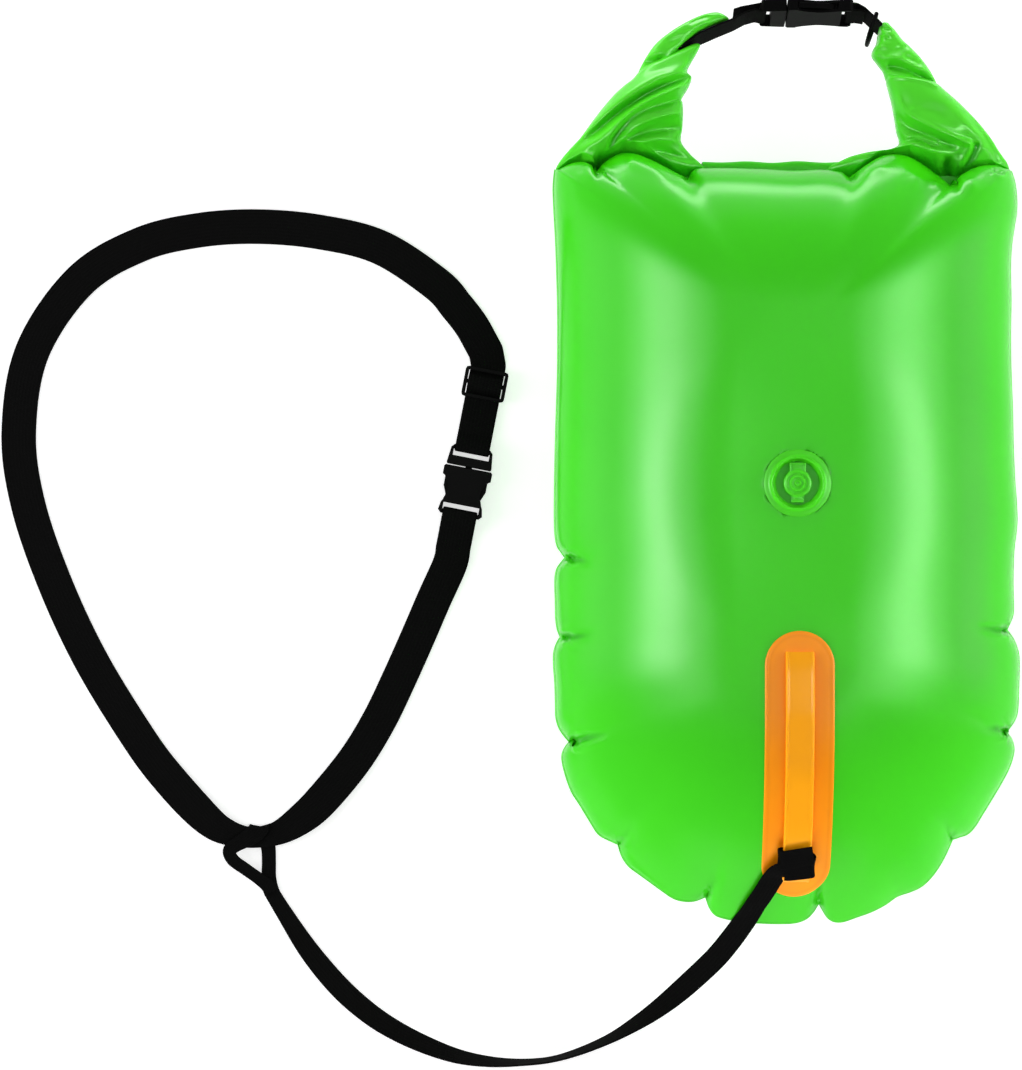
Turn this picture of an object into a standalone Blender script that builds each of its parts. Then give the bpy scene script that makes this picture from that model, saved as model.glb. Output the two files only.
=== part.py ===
"""Open water swim buoy with a roll-top dry bag, two air chambers, a leash and a waist belt.

Lengths are metres and +Z is up. The buoy lies on its rear chamber, as laid flat for a
photograph from above: +Y runs from the bag's foot to its carrying handle, and the origin is on
the floor under the middle of the belly.
"""

import math

import bmesh
import bpy
from mathutils import Matrix, Vector
from mathutils.bvhtree import BVHTree

# Bag
BAG_WIDTH = 0.3255
BAG_LENGTH = 0.529
MIDDLE_HEIGHT = 0.080
FRONT_RISE = 0.0785
CHAMBER_WALL = 0.0006
SPINE_TOP = 0.135
SPINE_BOTTOM = -0.070
FRONT_FLAT_SHARE = 0.24
BELLY_FLAT_SHARE = 0.50
SIDE_ROUNDNESS = 0.5
FOOT_ROUNDNESS = 0.78
REAR_TOP_ROUNDNESS = 1.6
EDGE_STEP = 0.019
DOME_RINGS = 5
NOTCH_FADE = 3
NOTCH_FADE_POWER = 4
LOBE_FULLNESS = 2.6
PATCH_DEPTH_SHARE = 0.125

# Places where the weld is drawn in, from the top left corner down, round the foot and up again,
# as shares of half the width and half the length
EDGE_NOTCHES_SHARE = (
    (-0.991, 1.0),
    (-0.953, -0.037),
    (-0.974, -0.249),
    (-0.923, -0.526),
    (-0.699, -0.802),
    (-0.342, -0.931),
    (0.140, -0.947),
    (0.725, -0.783),
    (0.953, -0.492),
    (0.944, -0.225),
    (0.961, 1.0),
)
# How far each lobe swells past the line between its notches, as a share of that line
LOBE_RISE_SHARES = (0.018, 0.09, 0.12, 0.17, 0.19, 0.20, 0.19, 0.14, 0.14, 0.022, 0.0)

# Weld seam and dry bag
SEAM_REACH = 0.0025
SEAM_THICKNESS = 0.0024
SEAM_WELD_WIDTH = 0.006
POUCH_THICKNESS = 0.0024
POUCH_WALL = 0.0006
POUCH_INSET = 0.009
NECK_WIDTH = 0.1180
NECK_OFFSET = 0.0010

# Corners of bars and plates
CORNER_REACH_SHARE = 0.45

# Gaps
REST_GAP = 0.0003
RUN_GAP = 0.0004
CUT_OVERRUN = 0.002

# Rolled mouth and its stiffener
ROLL_TURNS = 2.5
ROLL_PITCH = 0.0034
ROLL_SHEET = 0.0024
ROLL_CORE_RADIUS = 0.0018
ROLL_STEPS_PER_TURN = 14
ROLL_HEIGHT = 0.0450
STIFFENER_WIDTH = 0.0022
STIFFENER_THICKNESS = 0.0012

# Gathered arms of the roll
ARM_SIDES = 20
ARM_PLEATS = 5
ARM_PLEAT_SHARE = 0.045
ARM_HALF_WIDTH = 0.0500
ARM_HALF_DEPTH = 0.0195
ARM_TIP_HALF_WIDTH = 0.0095
ARM_TIP_HALF_DEPTH = 0.0150
ARM_SLOT_DEPTH = 0.013

# Webbing
WEBBING_THICKNESS = 0.0013
BELT_WIDTH = 0.025
TOP_WEBBING_WIDTH = 0.025
LEASH_WIDTH = 0.016
STRAP_STATION = 0.011

# Inflation valves
VALVE_PLACE = (0.0032, 0.0417)
VALVE_SEGMENTS = 24
FLANGE_RADIUS = 0.0230
FLANGE_THICKNESS = 0.0009
BEAD_RADIUS = 0.0178
BEAD_WIDTH = 0.0022
BEAD_HEIGHT = 0.0016
WELL_RADIUS = 0.0154
WELL_TAPER = 0.0006
WELL_DEPTH = 0.0045
WELL_WALL = 0.0010
STEM_RADIUS = 0.0080
STEM_BORE = 0.0046
STEM_TOP_DROP = 0.0010
COLLAR_RADIUS = 0.0096
COLLAR_HEIGHT = 0.0016
STEM_STOP_RADIUS = 0.0100
STEM_STOP_HEIGHT = 0.0015
STEM_TRAVEL = 0.0080
CAP_RADIUS = 0.0095
CAP_HEIGHT = 0.0024
CAP_DISH = 0.0007
PLUG_RADIUS = 0.0042
PLUG_TIP_RADIUS = 0.0029
PLUG_LENGTH = 0.0042
HINGE_OFFSET = 0.0122
HINGE_BARREL = 0.0010
HINGE_WIDTH = 0.0090
TAB_REACH = 0.0138
TAB_WIDTH = 0.0110
TAB_THICKNESS = 0.0011
FLAP_RADIUS = 0.0062
FLAP_THICKNESS = 0.0007
FLAP_HINGE_OFFSET = 0.0068
FLAP_SEGMENTS = 19
BARREL_STEPS = 5
FRONT_DIMPLE_DEPTH = 0.0035
REAR_DIMPLE_DEPTH = 0.0135
DIMPLE_RADIUS = 0.0260
DIMPLE_FLARE = 0.0045
DIMPLE_SEGMENTS = 32

# Orange handle patch on the front
PATCH_WIDTH = 0.0475
PATCH_TOP = -0.0590
PATCH_BOTTOM = -0.2450
PATCH_CENTRE = 0.0045
PATCH_THICKNESS = 0.0009
PATCH_ROUND_STEPS = 10
STRIP_WIDTH = 0.0195
STRIP_TOP = -0.0740
STRIP_BOTTOM = -0.2350
STRIP_THICKNESS = 0.0014
STRIP_RISE = 0.0034
STRIP_RAMP = 0.0140
STRIP_STATIONS = 17
STRIP_SEAT = 0.0005
LEASH_LOOP_Y = -0.2120
LEASH_LOOP_TAIL = 0.0060
LOOP_TURN_STEPS = 5

# D-ring
RING_WIRE_RADIUS = 0.0015
RING_INNER_WIDTH = 0.0262
RING_INNER_DEPTH = 0.0150
RING_SIDES = 8
RING_ARC_STEPS = 9
RING_BAR_SHARE = 0.75
RING_CORNER_SHARE = 0.95
RING_BOW_POWER = 0.7

# Slider
SLIDER_WIDTH = 0.0312
SLIDER_LENGTH = 0.0220
SLIDER_THICKNESS = 0.0024
SLIDER_RAIL = 0.0026
SLIDER_BAR = 0.0030
SLIDER_ROUND = 0.0025


class BuckleSizes:
    """Sizes of one side-release buckle, measured along it from the mouth of its housing."""

    def __init__(self, webbing, length, base_length, side, waist, height):
        self.webbing = webbing
        self.length = length
        self.base_length = base_length
        self.width = webbing + side * 2
        self.waist = waist
        self.height = height
        self.plate = 0.0021
        self.lip = 0.0070
        self.end_rail = 0.0034
        self.rail_height = 0.0036
        self.slot = 0.0046
        self.arm = 0.0026
        self.arm_root = 0.0098
        self.barb = 0.0018
        self.guide = 0.0048
        self.round = 0.0022
        self.mouth_clear = 0.0004


BELT_BUCKLE = BuckleSizes(
    BELT_WIDTH, length=0.0350, base_length=0.0150, side=0.0050, waist=0.0230, height=0.0086
)
TOP_BUCKLE = BuckleSizes(
    TOP_WEBBING_WIDTH, length=0.0460, base_length=0.0190, side=0.0045, waist=0.0235, height=0.0090
)
ARM_ROOT_STEPS = 4

# Section of webbing folded round a rail, as shares of its reach and of its height over the rail
RAIL_FOLD_SHARES = ((0.2, -1.0), (-0.7, -1.0), (-1.0, -0.65), (-1.0, 0.65), (-0.7, 1.0), (0.2, 1.0))

# The belt's buckle and slider lie on one line on the floor
BELT_BUCKLE_CENTRE = (-0.2245, 0.0444)
BELT_LINE_HEADING = -101.0
BELT_BUCKLE_LIFT = 0.0004
SLIDER_DISTANCE = 0.0715
SLIDER_LIFT = 0.0036
FLOOR_GAP = 0.0002
END_FOLD_LENGTH = 0.022
FOLD_UNDER_SHARE = 0.8
FOLD_LIFT_SHARE = 0.9

# The handle: its reach past the shoulder, its fall, and the top buckle, tipped on its long edge
HANDLE_REACH = 0.1095
HANDLE_FALL = 0.0180
TOP_BUCKLE_OFFSET = 0.0020
TOP_BUCKLE_TIP = -105.0
LEFT_TAIL_LENGTH = 0.0300
LEFT_TAIL_DROP = 0.0102
LEFT_TAIL_SLOPE = 0.34
RIGHT_TAIL_LENGTH = 0.0240
RIGHT_TAIL_DROP = 0.0200
RIGHT_TAIL_SLOPE = 1.7
TAIL_LENGTH = 0.0150
RING_HANG = 110.0
RING_PLACE_SHARE = 0.45

# Free routes of the straps, chosen by hand on the photographed curve. Each point gives its place
# and the roll of the strap about its run, in degrees
BELT_ROUTE = (
    (-0.2337, -0.0026, 0.0024, 0),
    (-0.2361, -0.0146, 0.0018, 0),
    (-0.2475, -0.0400, 0.0012, 0),
    (-0.2600, -0.0690, 0.0011, 0),
    (-0.2730, -0.0980, 0.0011, 0),
    (-0.2870, -0.1270, 0.0012, 0),
    (-0.3045, -0.1555, 0.0020, 0),
    (-0.3270, -0.1830, 0.0030, 0),
    (-0.3420, -0.1970, 0.0036, 0),
    (-0.3590, -0.2075, 0.0037, 0),
    (-0.3770, -0.2110, 0.0037, 0),
    (-0.3950, -0.2075, 0.0037, 0),
    (-0.4110, -0.1975, 0.0034, 0),
    (-0.4370, -0.1700, 0.0022, 0),
    (-0.4590, -0.1410, 0.0013, 0),
    (-0.4940, -0.0840, 0.0011, 0),
    (-0.5210, -0.0260, 0.0011, 0),
    (-0.5400, 0.0310, 0.0011, 0),
    (-0.5460, 0.0820, 0.0011, 0),
    (-0.5360, 0.1390, 0.0011, 0),
    (-0.5020, 0.1890, 0.0011, 0),
    (-0.4590, 0.2150, 0.0011, 0),
    (-0.4160, 0.2255, 0.0011, 0),
    (-0.3730, 0.2280, 0.0011, 0),
    (-0.3290, 0.2240, 0.0011, 0),
    (-0.2860, 0.2130, 0.0011, 0),
    (-0.2460, 0.1870, 0.0011, 0),
    (-0.2310, 0.1705, 0.0011, 0),
    (-0.2213, 0.1580, 0.0011, 0),
    (-0.2155, 0.1481, 0.0010, 0),
)
# The webbing's run up to its slider: places, and the heading of its width
ADJUSTER_LEAD_ROUTE = (
    (-0.2150, 0.1472, 0.0010, 28),
    (-0.2101, 0.1380, 0.0010, 18),
)
LEASH_ROUTE = (
    (-0.0121, -0.2131, 0.1308, -34),
    (-0.0150, -0.2132, 0.1308, -33),
    (-0.0202, -0.2146, 0.1302, -27),
    (-0.0254, -0.2200, 0.1262, -18),
    (-0.0290, -0.2280, 0.1208, -13),
    (-0.0340, -0.2390, 0.1105, -4),
    (-0.0385, -0.2500, 0.1010, 2),
    (-0.0440, -0.2630, 0.0890, 6),
    (-0.0505, -0.2790, 0.0730, 10),
    (-0.0570, -0.2930, 0.0590, 14),
    (-0.0650, -0.3060, 0.0450, 20),
    (-0.0790, -0.3230, 0.0290, 36),
    (-0.1000, -0.3410, 0.0155, 58),
    (-0.1210, -0.3545, 0.0100, 72),
    (-0.1430, -0.3640, 0.0088, 79),
    (-0.1640, -0.3700, 0.0087, 83),
    (-0.1860, -0.3720, 0.0086, 80),
    (-0.2070, -0.3715, 0.0083, 70),
    (-0.2290, -0.3680, 0.0078, 58),
    (-0.2500, -0.3610, 0.0070, 46),
    (-0.2720, -0.3510, 0.0055, 34),
    (-0.2930, -0.3380, 0.0042, 22),
    (-0.3150, -0.3190, 0.0025, 10),
    (-0.3370, -0.2930, 0.0012, 2),
    (-0.3560, -0.2640, 0.0011, 0),
    (-0.3648, -0.2494, 0.0011, 0),
)
# The sewn loop at the leash's far end, under the belt and back over it: places, and the heading
# of its width
BELT_LOOP_ROUTE = (
    (-0.3651, -0.2488, 0.0011, 29),
    (-0.3697, -0.2403, 0.0011, 21),
    (-0.3712, -0.2290, 0.0011, 8),
    (-0.3722, -0.2180, 0.0011, 8),
    (-0.3745, -0.2060, 0.0012, 12),
    (-0.3770, -0.1965, 0.0015, 12),
    (-0.3780, -0.1930, 0.0038, 4),
    (-0.3792, -0.1958, 0.0061, -10),
    (-0.3830, -0.2050, 0.0059, -23),
    (-0.3885, -0.2150, 0.0058, -18),
    (-0.3925, -0.2235, 0.0057, 8),
    (-0.3890, -0.2318, 0.0046, 38),
    (-0.3790, -0.2405, 0.0031, 48),
    (-0.3690, -0.2472, 0.0030, 52),
)
# Finishes: colour, and roughness
GREEN_PVC = ((0.060, 0.690, 0.019, 1.0), 0.3)
DRY_BAG_GREEN = ((0.045, 0.460, 0.016, 1.0), 0.4)
VALVE_PVC = ((0.140, 0.760, 0.090, 1.0), 0.3)
ORANGE_PVC = ((1.0, 0.332, 0.006, 1.0), 0.35)
ORANGE_STRIP = ((0.913, 0.366, 0.004, 1.0), 0.35)
BLACK_WEBBING = ((0.004, 0.004, 0.004, 1.0), 0.85)
BLACK_ACETAL = ((0.012, 0.012, 0.012, 1.0), 0.35)
STIFF_WHITE = ((0.55, 0.55, 0.55, 1.0), 0.5)

# Edges flatter than these angles, in degrees, are shaded smooth
SMOOTH_ANGLE = 30
PLEAT_SMOOTH_ANGLE = 50

HALF_WIDTH = BAG_WIDTH / 2
HALF_LENGTH = BAG_LENGTH / 2
INNER_SHEET = SEAM_THICKNESS / 2 + REST_GAP
REAR_RISE = MIDDLE_HEIGHT - INNER_SHEET


def clear_scene():
    """Remove whatever the file holds."""
    for item in list(bpy.data.objects):
        bpy.data.objects.remove(item, do_unlink=True)


def finish_material(name, finish):
    """Make a plain shaded material from a colour and a roughness."""
    colour, roughness = finish
    made = bpy.data.materials.new(name)
    made.use_nodes = True
    shader = made.node_tree.nodes["Principled BSDF"]
    shader.inputs["Base Color"].default_value = colour
    shader.inputs["Roughness"].default_value = roughness
    shader.inputs["Metallic"].default_value = 0.0
    return made


def place_mesh(name, bm, finish=None, parent=None, smooth=SMOOTH_ANGLE):
    """Turn a bmesh into a named object with its own material."""
    bmesh.ops.recalc_face_normals(bm, faces=bm.faces)
    mesh = bpy.data.meshes.new(name)
    bm.to_mesh(mesh)
    bm.free()
    mesh.shade_smooth()
    mesh.set_sharp_from_angle(angle=math.radians(smooth))
    item = bpy.data.objects.new(name, mesh)
    bpy.context.scene.collection.objects.link(item)
    if finish is not None:
        mesh.materials.append(finish_material(name + "_finish", finish))
    item.parent = parent
    return item


def joint_frame(name, matrix):
    """Place an empty that carries a moving piece on its joint axis."""
    empty = bpy.data.objects.new(name, None)
    bpy.context.scene.collection.objects.link(empty)
    empty.matrix_world = matrix
    return empty


def cut_with(item, cutter, operation="DIFFERENCE"):
    """Cut one object with another, which stays as a hidden guide."""
    cutter.hide_render = True
    cutter.display_type = "WIRE"
    change = item.modifiers.new(cutter.name, "BOOLEAN")
    change.operation = operation
    change.solver = "EXACT"
    change.object = cutter
    return item


def closed_loft(bm, rings, close_ends=True):
    """Join rings of points into a tube, with a face over each end."""
    made = [[bm.verts.new(point) for point in ring] for ring in rings]
    count = len(made[0])
    for near, far in zip(made, made[1:]):
        for index in range(count):
            after = (index + 1) % count
            bm.faces.new((near[index], near[after], far[after], far[index]))
    if close_ends:
        bm.faces.new(list(reversed(made[0])))
        bm.faces.new(made[-1])
    return made


def revolve(profile, segments, closed=True):
    """Turn a profile of radius and height about Z. A closed profile makes a ring."""
    bm = bmesh.new()
    rings = []
    for radius, height in profile:
        ring = []
        for step in range(segments):
            angle = math.tau * step / segments
            ring.append((radius * math.cos(angle), radius * math.sin(angle), height))
        rings.append(ring)
    if closed:
        made = closed_loft(bm, rings, close_ends=False)
        first, last = made[0], made[-1]
        for index in range(segments):
            after = (index + 1) % segments
            bm.faces.new((last[index], last[after], first[after], first[index]))
    else:
        closed_loft(bm, rings)
    return bm


def extruded(outline, low, high):
    """Extrude a flat outline between two heights."""
    bm = bmesh.new()
    closed_loft(bm, [[(x, y, low) for x, y in outline], [(x, y, high) for x, y in outline]])
    return bm


def block(low, high):
    """Make a box from its two corners."""
    outline = [(low[0], low[1]), (high[0], low[1]), (high[0], high[1]), (low[0], high[1])]
    return extruded(outline, low[2], high[2])


def rounded_outline(points, radius, steps=3):
    """Round each corner of an outline by a curve that starts one radius away from it."""
    rounded = []
    count = len(points)
    for index in range(count):
        corner = Vector(points[index])
        before = Vector(points[index - 1]) - corner
        after = Vector(points[(index + 1) % count]) - corner
        reach_before = min(radius, before.length * CORNER_REACH_SHARE)
        reach_after = min(radius, after.length * CORNER_REACH_SHARE)
        start = corner + before.normalized() * reach_before
        end = corner + after.normalized() * reach_after
        for step in range(steps + 1):
            along = step / steps
            point = start * (1 - along) ** 2 + corner * 2 * along * (1 - along) + end * along ** 2
            rounded.append((point.x, point.y))
    return rounded


def smooth_route(points, spacing):
    """Read evenly spaced places from a smooth curve through points of any dimension."""
    padded = [points[0], *points, points[-1]]
    route = []
    for index in range(1, len(padded) - 2):
        before, start, end, after = padded[index - 1:index + 3]
        run = math.dist(start[:3], end[:3])
        steps = max(1, round(run / spacing))
        for step in range(steps):
            along = step / steps
            place = []
            for a, b, c, d in zip(before, start, end, after):
                bend = (2 * a - 5 * b + 4 * c - d) * along ** 2 + (3 * b - 3 * c + d - a) * along ** 3
                place.append((2 * b + (c - a) * along + bend) / 2)
            route.append(tuple(place))
    route.append(tuple(points[-1]))
    return route


def tangents(places):
    """Directions of a run of places."""
    result = []
    for index in range(len(places)):
        before = places[max(index - 1, 0)]
        after = places[min(index + 1, len(places) - 1)]
        result.append((after - before).normalized())
    return result


def strap(name, places, widths, width, finish=BLACK_WEBBING, thickness=WEBBING_THICKNESS):
    """Sweep a flat webbing section along places whose width directions are given."""
    bm = bmesh.new()
    rings = []
    for place, run, across in zip(places, tangents(places), widths):
        across = (across - run * across.dot(run)).normalized()
        through = run.cross(across).normalized()
        half = across * (width / 2)
        up = through * (thickness / 2)
        rings.append([place - half - up, place + half - up, place + half + up, place - half + up])
    closed_loft(bm, rings)
    return place_mesh(name, bm, finish)


def rolled_strap(name, route, width):
    """Sweep a strap along a hand-chosen route that gives a roll at each place."""
    stations = smooth_route(route, STRAP_STATION)
    places = [Vector(station[:3]) for station in stations]
    widths = []
    for run, station in zip(tangents(places), stations):
        level = Vector((-run.y, run.x, 0)).normalized()
        roll = math.radians(station[3])
        widths.append(level * math.cos(roll) + run.cross(level) * math.sin(roll))
    return strap(name, places, widths, width)


def headed_strap(name, route, width, spacing):
    """Sweep a strap along a route that gives the level heading of its width at each place."""
    stations = smooth_route(route, spacing)
    places = [Vector(station[:3]) for station in stations]
    widths = []
    for station in stations:
        heading = math.radians(station[3])
        widths.append(Vector((math.cos(heading), math.sin(heading), 0)))
    return strap(name, places, widths, width)


def notch_points():
    """Real places of the weld's notches."""
    return [Vector((x * HALF_WIDTH, y * HALF_LENGTH)) for x, y in EDGE_NOTCHES_SHARE]


def edge_outline():
    """The bag's outer edge, lobe by lobe, as plan points."""
    notches = notch_points()
    outline = []
    for index, rise_share in enumerate(LOBE_RISE_SHARES):
        start = notches[index]
        end = notches[(index + 1) % len(notches)]
        chord = end - start
        outward = Vector((chord.y, -chord.x)).normalized()
        steps = max(4, round(chord.length / EDGE_STEP))
        for step in range(steps):
            along = step / steps
            swell = rise_share * chord.length * (1 - abs(2 * along - 1) ** LOBE_FULLNESS)
            outline.append(start + chord * along + outward * swell)
    return outline


def calm_outline(outline):
    """The same edge with its notches smoothed away, as the chambers have further in."""
    count = len(outline)
    calm = []
    for index in range(count):
        near = [outline[(index + offset) % count] for offset in range(-NOTCH_FADE, NOTCH_FADE + 1)]
        calm.append(sum(near, Vector((0, 0))) / len(near))
    return calm


def spine_point(point):
    """The nearest point of the line that the chambers swell about."""
    return Vector((0, min(max(point.y, SPINE_BOTTOM), SPINE_TOP)))


def inset_outline(outline, inset):
    """Draw an outline in towards the spine by a real distance."""
    drawn = []
    for point in outline:
        inward = spine_point(point) - point
        drawn.append(point + inward.normalized() * inset)
    return drawn


def dome_share(ring_share, direction, form):
    """Height share of a chamber at a share of the way from its spine to its edge."""
    along = max(0.0, (ring_share - form.flat_share) / (1 - form.flat_share))
    end_roundness = FOOT_ROUNDNESS if direction.y < 0 else form.top_roundness
    roundness = SIDE_ROUNDNESS + (end_roundness - SIDE_ROUNDNESS) * direction.y ** 2
    return max(0.0, 1 - along ** 2) ** roundness


class ChamberForm:
    """One chamber's rise, its side of the pouch and how it rounds off."""

    def __init__(self, side, rise, flat_share, top_roundness):
        self.side = side
        self.rise = rise
        self.flat_share = flat_share
        self.top_roundness = top_roundness


FRONT_FORM = ChamberForm(1, FRONT_RISE, FRONT_FLAT_SHARE, SIDE_ROUNDNESS)
REAR_FORM = ChamberForm(-1, REAR_RISE, BELLY_FLAT_SHARE, REAR_TOP_ROUNDNESS)


def chamber_shape(form, wall=0):
    """One chamber as a closed skin, drawn in by a wall."""
    outline = inset_outline(CHAMBER_EDGE, wall)
    calm = inset_outline(CHAMBER_CALM, wall)
    sheet = MIDDLE_HEIGHT + form.side * (INNER_SHEET + wall)
    height = form.rise - 2 * wall
    rings = []
    for ring in range(DOME_RINGS + 1):
        turn = math.pi / 2 * ring / DOME_RINGS
        ring_share = form.flat_share + (1 - form.flat_share) * math.cos(turn)
        points = []
        for edge, soft in zip(outline, calm):
            blend = ring_share ** NOTCH_FADE_POWER
            rim = edge * blend + soft * (1 - blend)
            spine = spine_point(edge)
            plan = spine + (rim - spine) * ring_share
            up = dome_share(ring_share, (edge - spine).normalized(), form)
            points.append((plan.x, plan.y, sheet + form.side * height * up))
        rings.append(points)
    bm = bmesh.new()
    closed_loft(bm, rings)
    bmesh.ops.triangulate(bm, faces=bm.faces, quad_method="FIXED")
    bmesh.ops.recalc_face_normals(bm, faces=bm.faces)
    return bm


def lifted_front(lift):
    """The front chamber's skin moved out along its own normals."""
    bm = chamber_shape(FRONT_FORM)
    bm.normal_update()
    ways = []
    for vert in bm.verts:
        skin_faces = [face.normal for face in vert.link_faces if face.normal.z > 0]
        ways.append(sum(skin_faces, Vector()).normalized())
    for vert, way in zip(bm.verts, ways):
        vert.co += way * lift
    return bm


def front_profile(lift):
    """Reader of the highest place across the handle strip on the lifted front skin."""
    bm = lifted_front(lift)
    tree = BVHTree.FromBMesh(bm)
    bm.free()
    above = MIDDLE_HEIGHT + FRONT_RISE * 2

    def height(y):
        heights = []
        for share in (-1, 0, 1):
            start = Vector((PATCH_CENTRE + share * STRIP_WIDTH / 2, y, above))
            heights.append(tree.ray_cast(start, Vector((0, 0, -1)))[0].z)
        return max(heights)

    return height


def profile_frame(height, y):
    """A place on a profile, its downhill direction and its outward direction."""
    step = STRIP_WIDTH / 2
    downhill = Vector((0, -2 * step, height(y - step) - height(y + step))).normalized()
    outward = Vector((0, -downhill.z, downhill.y))
    if outward.z < 0:
        outward.negate()
    return Vector((PATCH_CENTRE, y, height(y))), downhill, outward


def valve_frame(side):
    """Frame of a valve: origin on its dimple's floor, +Z out of the bag."""
    depth = FRONT_DIMPLE_DEPTH if side > 0 else REAR_DIMPLE_DEPTH
    skin = MIDDLE_HEIGHT + INNER_SHEET + FRONT_RISE if side > 0 else 0
    place = Matrix.Translation((VALVE_PLACE[0], VALVE_PLACE[1], skin - side * depth))
    if side > 0:
        return place
    return place @ Matrix.Rotation(math.pi, 4, "Y")


def dimple_cutter(name, side, wall):
    """The cone that draws the skin in round a valve."""
    depth = FRONT_DIMPLE_DEPTH if side > 0 else REAR_DIMPLE_DEPTH
    slope = DIMPLE_FLARE / depth
    profile = [
        (DIMPLE_RADIUS + wall, -wall),
        (DIMPLE_RADIUS + wall + slope * (depth + CUT_OVERRUN), depth + CUT_OVERRUN),
    ]
    cutter = place_mesh(name, revolve(profile, DIMPLE_SEGMENTS, closed=False))
    cutter.matrix_world = valve_frame(side)
    return cutter


def air_chamber(name, side):
    """A thin welded chamber, hollow, with a dimple and a hole for its valve."""
    form = FRONT_FORM if side > 0 else REAR_FORM
    chamber = place_mesh(name, chamber_shape(form), GREEN_PVC)
    hollow = place_mesh(name + "_hollow", chamber_shape(form, CHAMBER_WALL))
    cut_with(hollow, dimple_cutter(name + "_inner_dimple", side, CHAMBER_WALL))
    cut_with(chamber, dimple_cutter(name + "_dimple", side, 0))
    cut_with(chamber, hollow)
    hole_radius = WELL_RADIUS + WELL_WALL + REST_GAP
    hole = place_mesh(
        name + "_hole",
        revolve([(hole_radius, -CUT_OVERRUN), (hole_radius, CUT_OVERRUN)], VALVE_SEGMENTS, closed=False),
    )
    hole.matrix_world = valve_frame(side)
    cut_with(chamber, hole)
    return chamber


def seam_band():
    """The weld round the sides and foot, open at the top where the neck comes out."""
    outer = inset_outline(EDGE, 0)
    inner = inset_outline(EDGE, SEAM_REACH + SEAM_WELD_WIDTH)
    side_count = len(EDGE) - max(4, round((notch_points()[0] - notch_points()[-1]).length / EDGE_STEP))
    low = MIDDLE_HEIGHT - SEAM_THICKNESS / 2
    high = MIDDLE_HEIGHT + SEAM_THICKNESS / 2
    rings = []
    for out, within in list(zip(outer, inner))[:side_count + 1]:
        ring = [(out.x, out.y, low), (out.x, out.y, high)]
        ring += [(within.x, within.y, high), (within.x, within.y, low)]
        rings.append(ring)
    bm = bmesh.new()
    closed_loft(bm, rings)
    place_mesh("edge_weld_seam", bm, GREEN_PVC)


def dry_bag_pouch():
    """The flat pouch between the chambers, with its neck turned down behind to the roll."""
    sides = inset_outline(EDGE, POUCH_INSET)
    low = MIDDLE_HEIGHT - POUCH_THICKNESS / 2
    high = MIDDLE_HEIGHT + POUCH_THICKNESS / 2
    bm = extruded([(point.x, point.y) for point in sides], low, high)
    pouch = place_mesh("dry_bag_pouch", bm, DRY_BAG_GREEN)
    neck = place_mesh("dry_bag_neck_part", neck_sheet(POUCH_THICKNESS, 0))
    cut_with(pouch, neck, "UNION")
    inner = inset_outline(EDGE, POUCH_INSET + POUCH_WALL)
    hollow = extruded([(point.x, point.y) for point in inner], low + POUCH_WALL, high - POUCH_WALL)
    inside = place_mesh("dry_bag_inside", hollow)
    throat = place_mesh("dry_bag_throat", neck_sheet(POUCH_THICKNESS - 2 * POUCH_WALL, POUCH_WALL))
    cut_with(inside, throat, "UNION")
    cut_with(pouch, inside)


def neck_line():
    """Section line of the neck from inside the pouch, out past the seam and down to the roll."""
    edge = HALF_LENGTH
    top = MIDDLE_HEIGHT
    bend = POUCH_THICKNESS + REST_GAP
    return [
        (edge - 2 * POUCH_INSET, top),
        (edge + REST_GAP, top),
        (edge + bend, top - bend / 3),
        (edge + bend + REST_GAP * 2, top - bend),
        (edge + bend + REST_GAP * 2, ROLL_HEIGHT + REST_GAP),
    ]


def neck_sheet(thickness, inset):
    """A sheet of the neck's width that follows its section line."""
    line = neck_line()
    if inset:
        last, before = Vector(line[-1]), Vector(line[-2])
        line[-1] = tuple(last + (last - before).normalized() * CUT_OVERRUN)
    left = NECK_OFFSET - NECK_WIDTH / 2 + inset
    right = NECK_OFFSET + NECK_WIDTH / 2 - inset
    points = [Vector((y, z)) for y, z in line]
    rings = []
    for place, run in zip(points, tangents(points)):
        off = Vector((-run.y, run.x)) * (thickness / 2)
        above, below = place + off, place - off
        ring = [(left, below.x, below.y), (right, below.x, below.y)]
        ring += [(right, above.x, above.y), (left, above.x, above.y)]
        rings.append(ring)
    bm = bmesh.new()
    closed_loft(bm, rings)
    return bm


def roll_radius(turn):
    """Radius of the rolled sheet's middle after a number of turns."""
    return ROLL_CORE_RADIUS + ROLL_SHEET / 2 + ROLL_PITCH * turn


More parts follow.
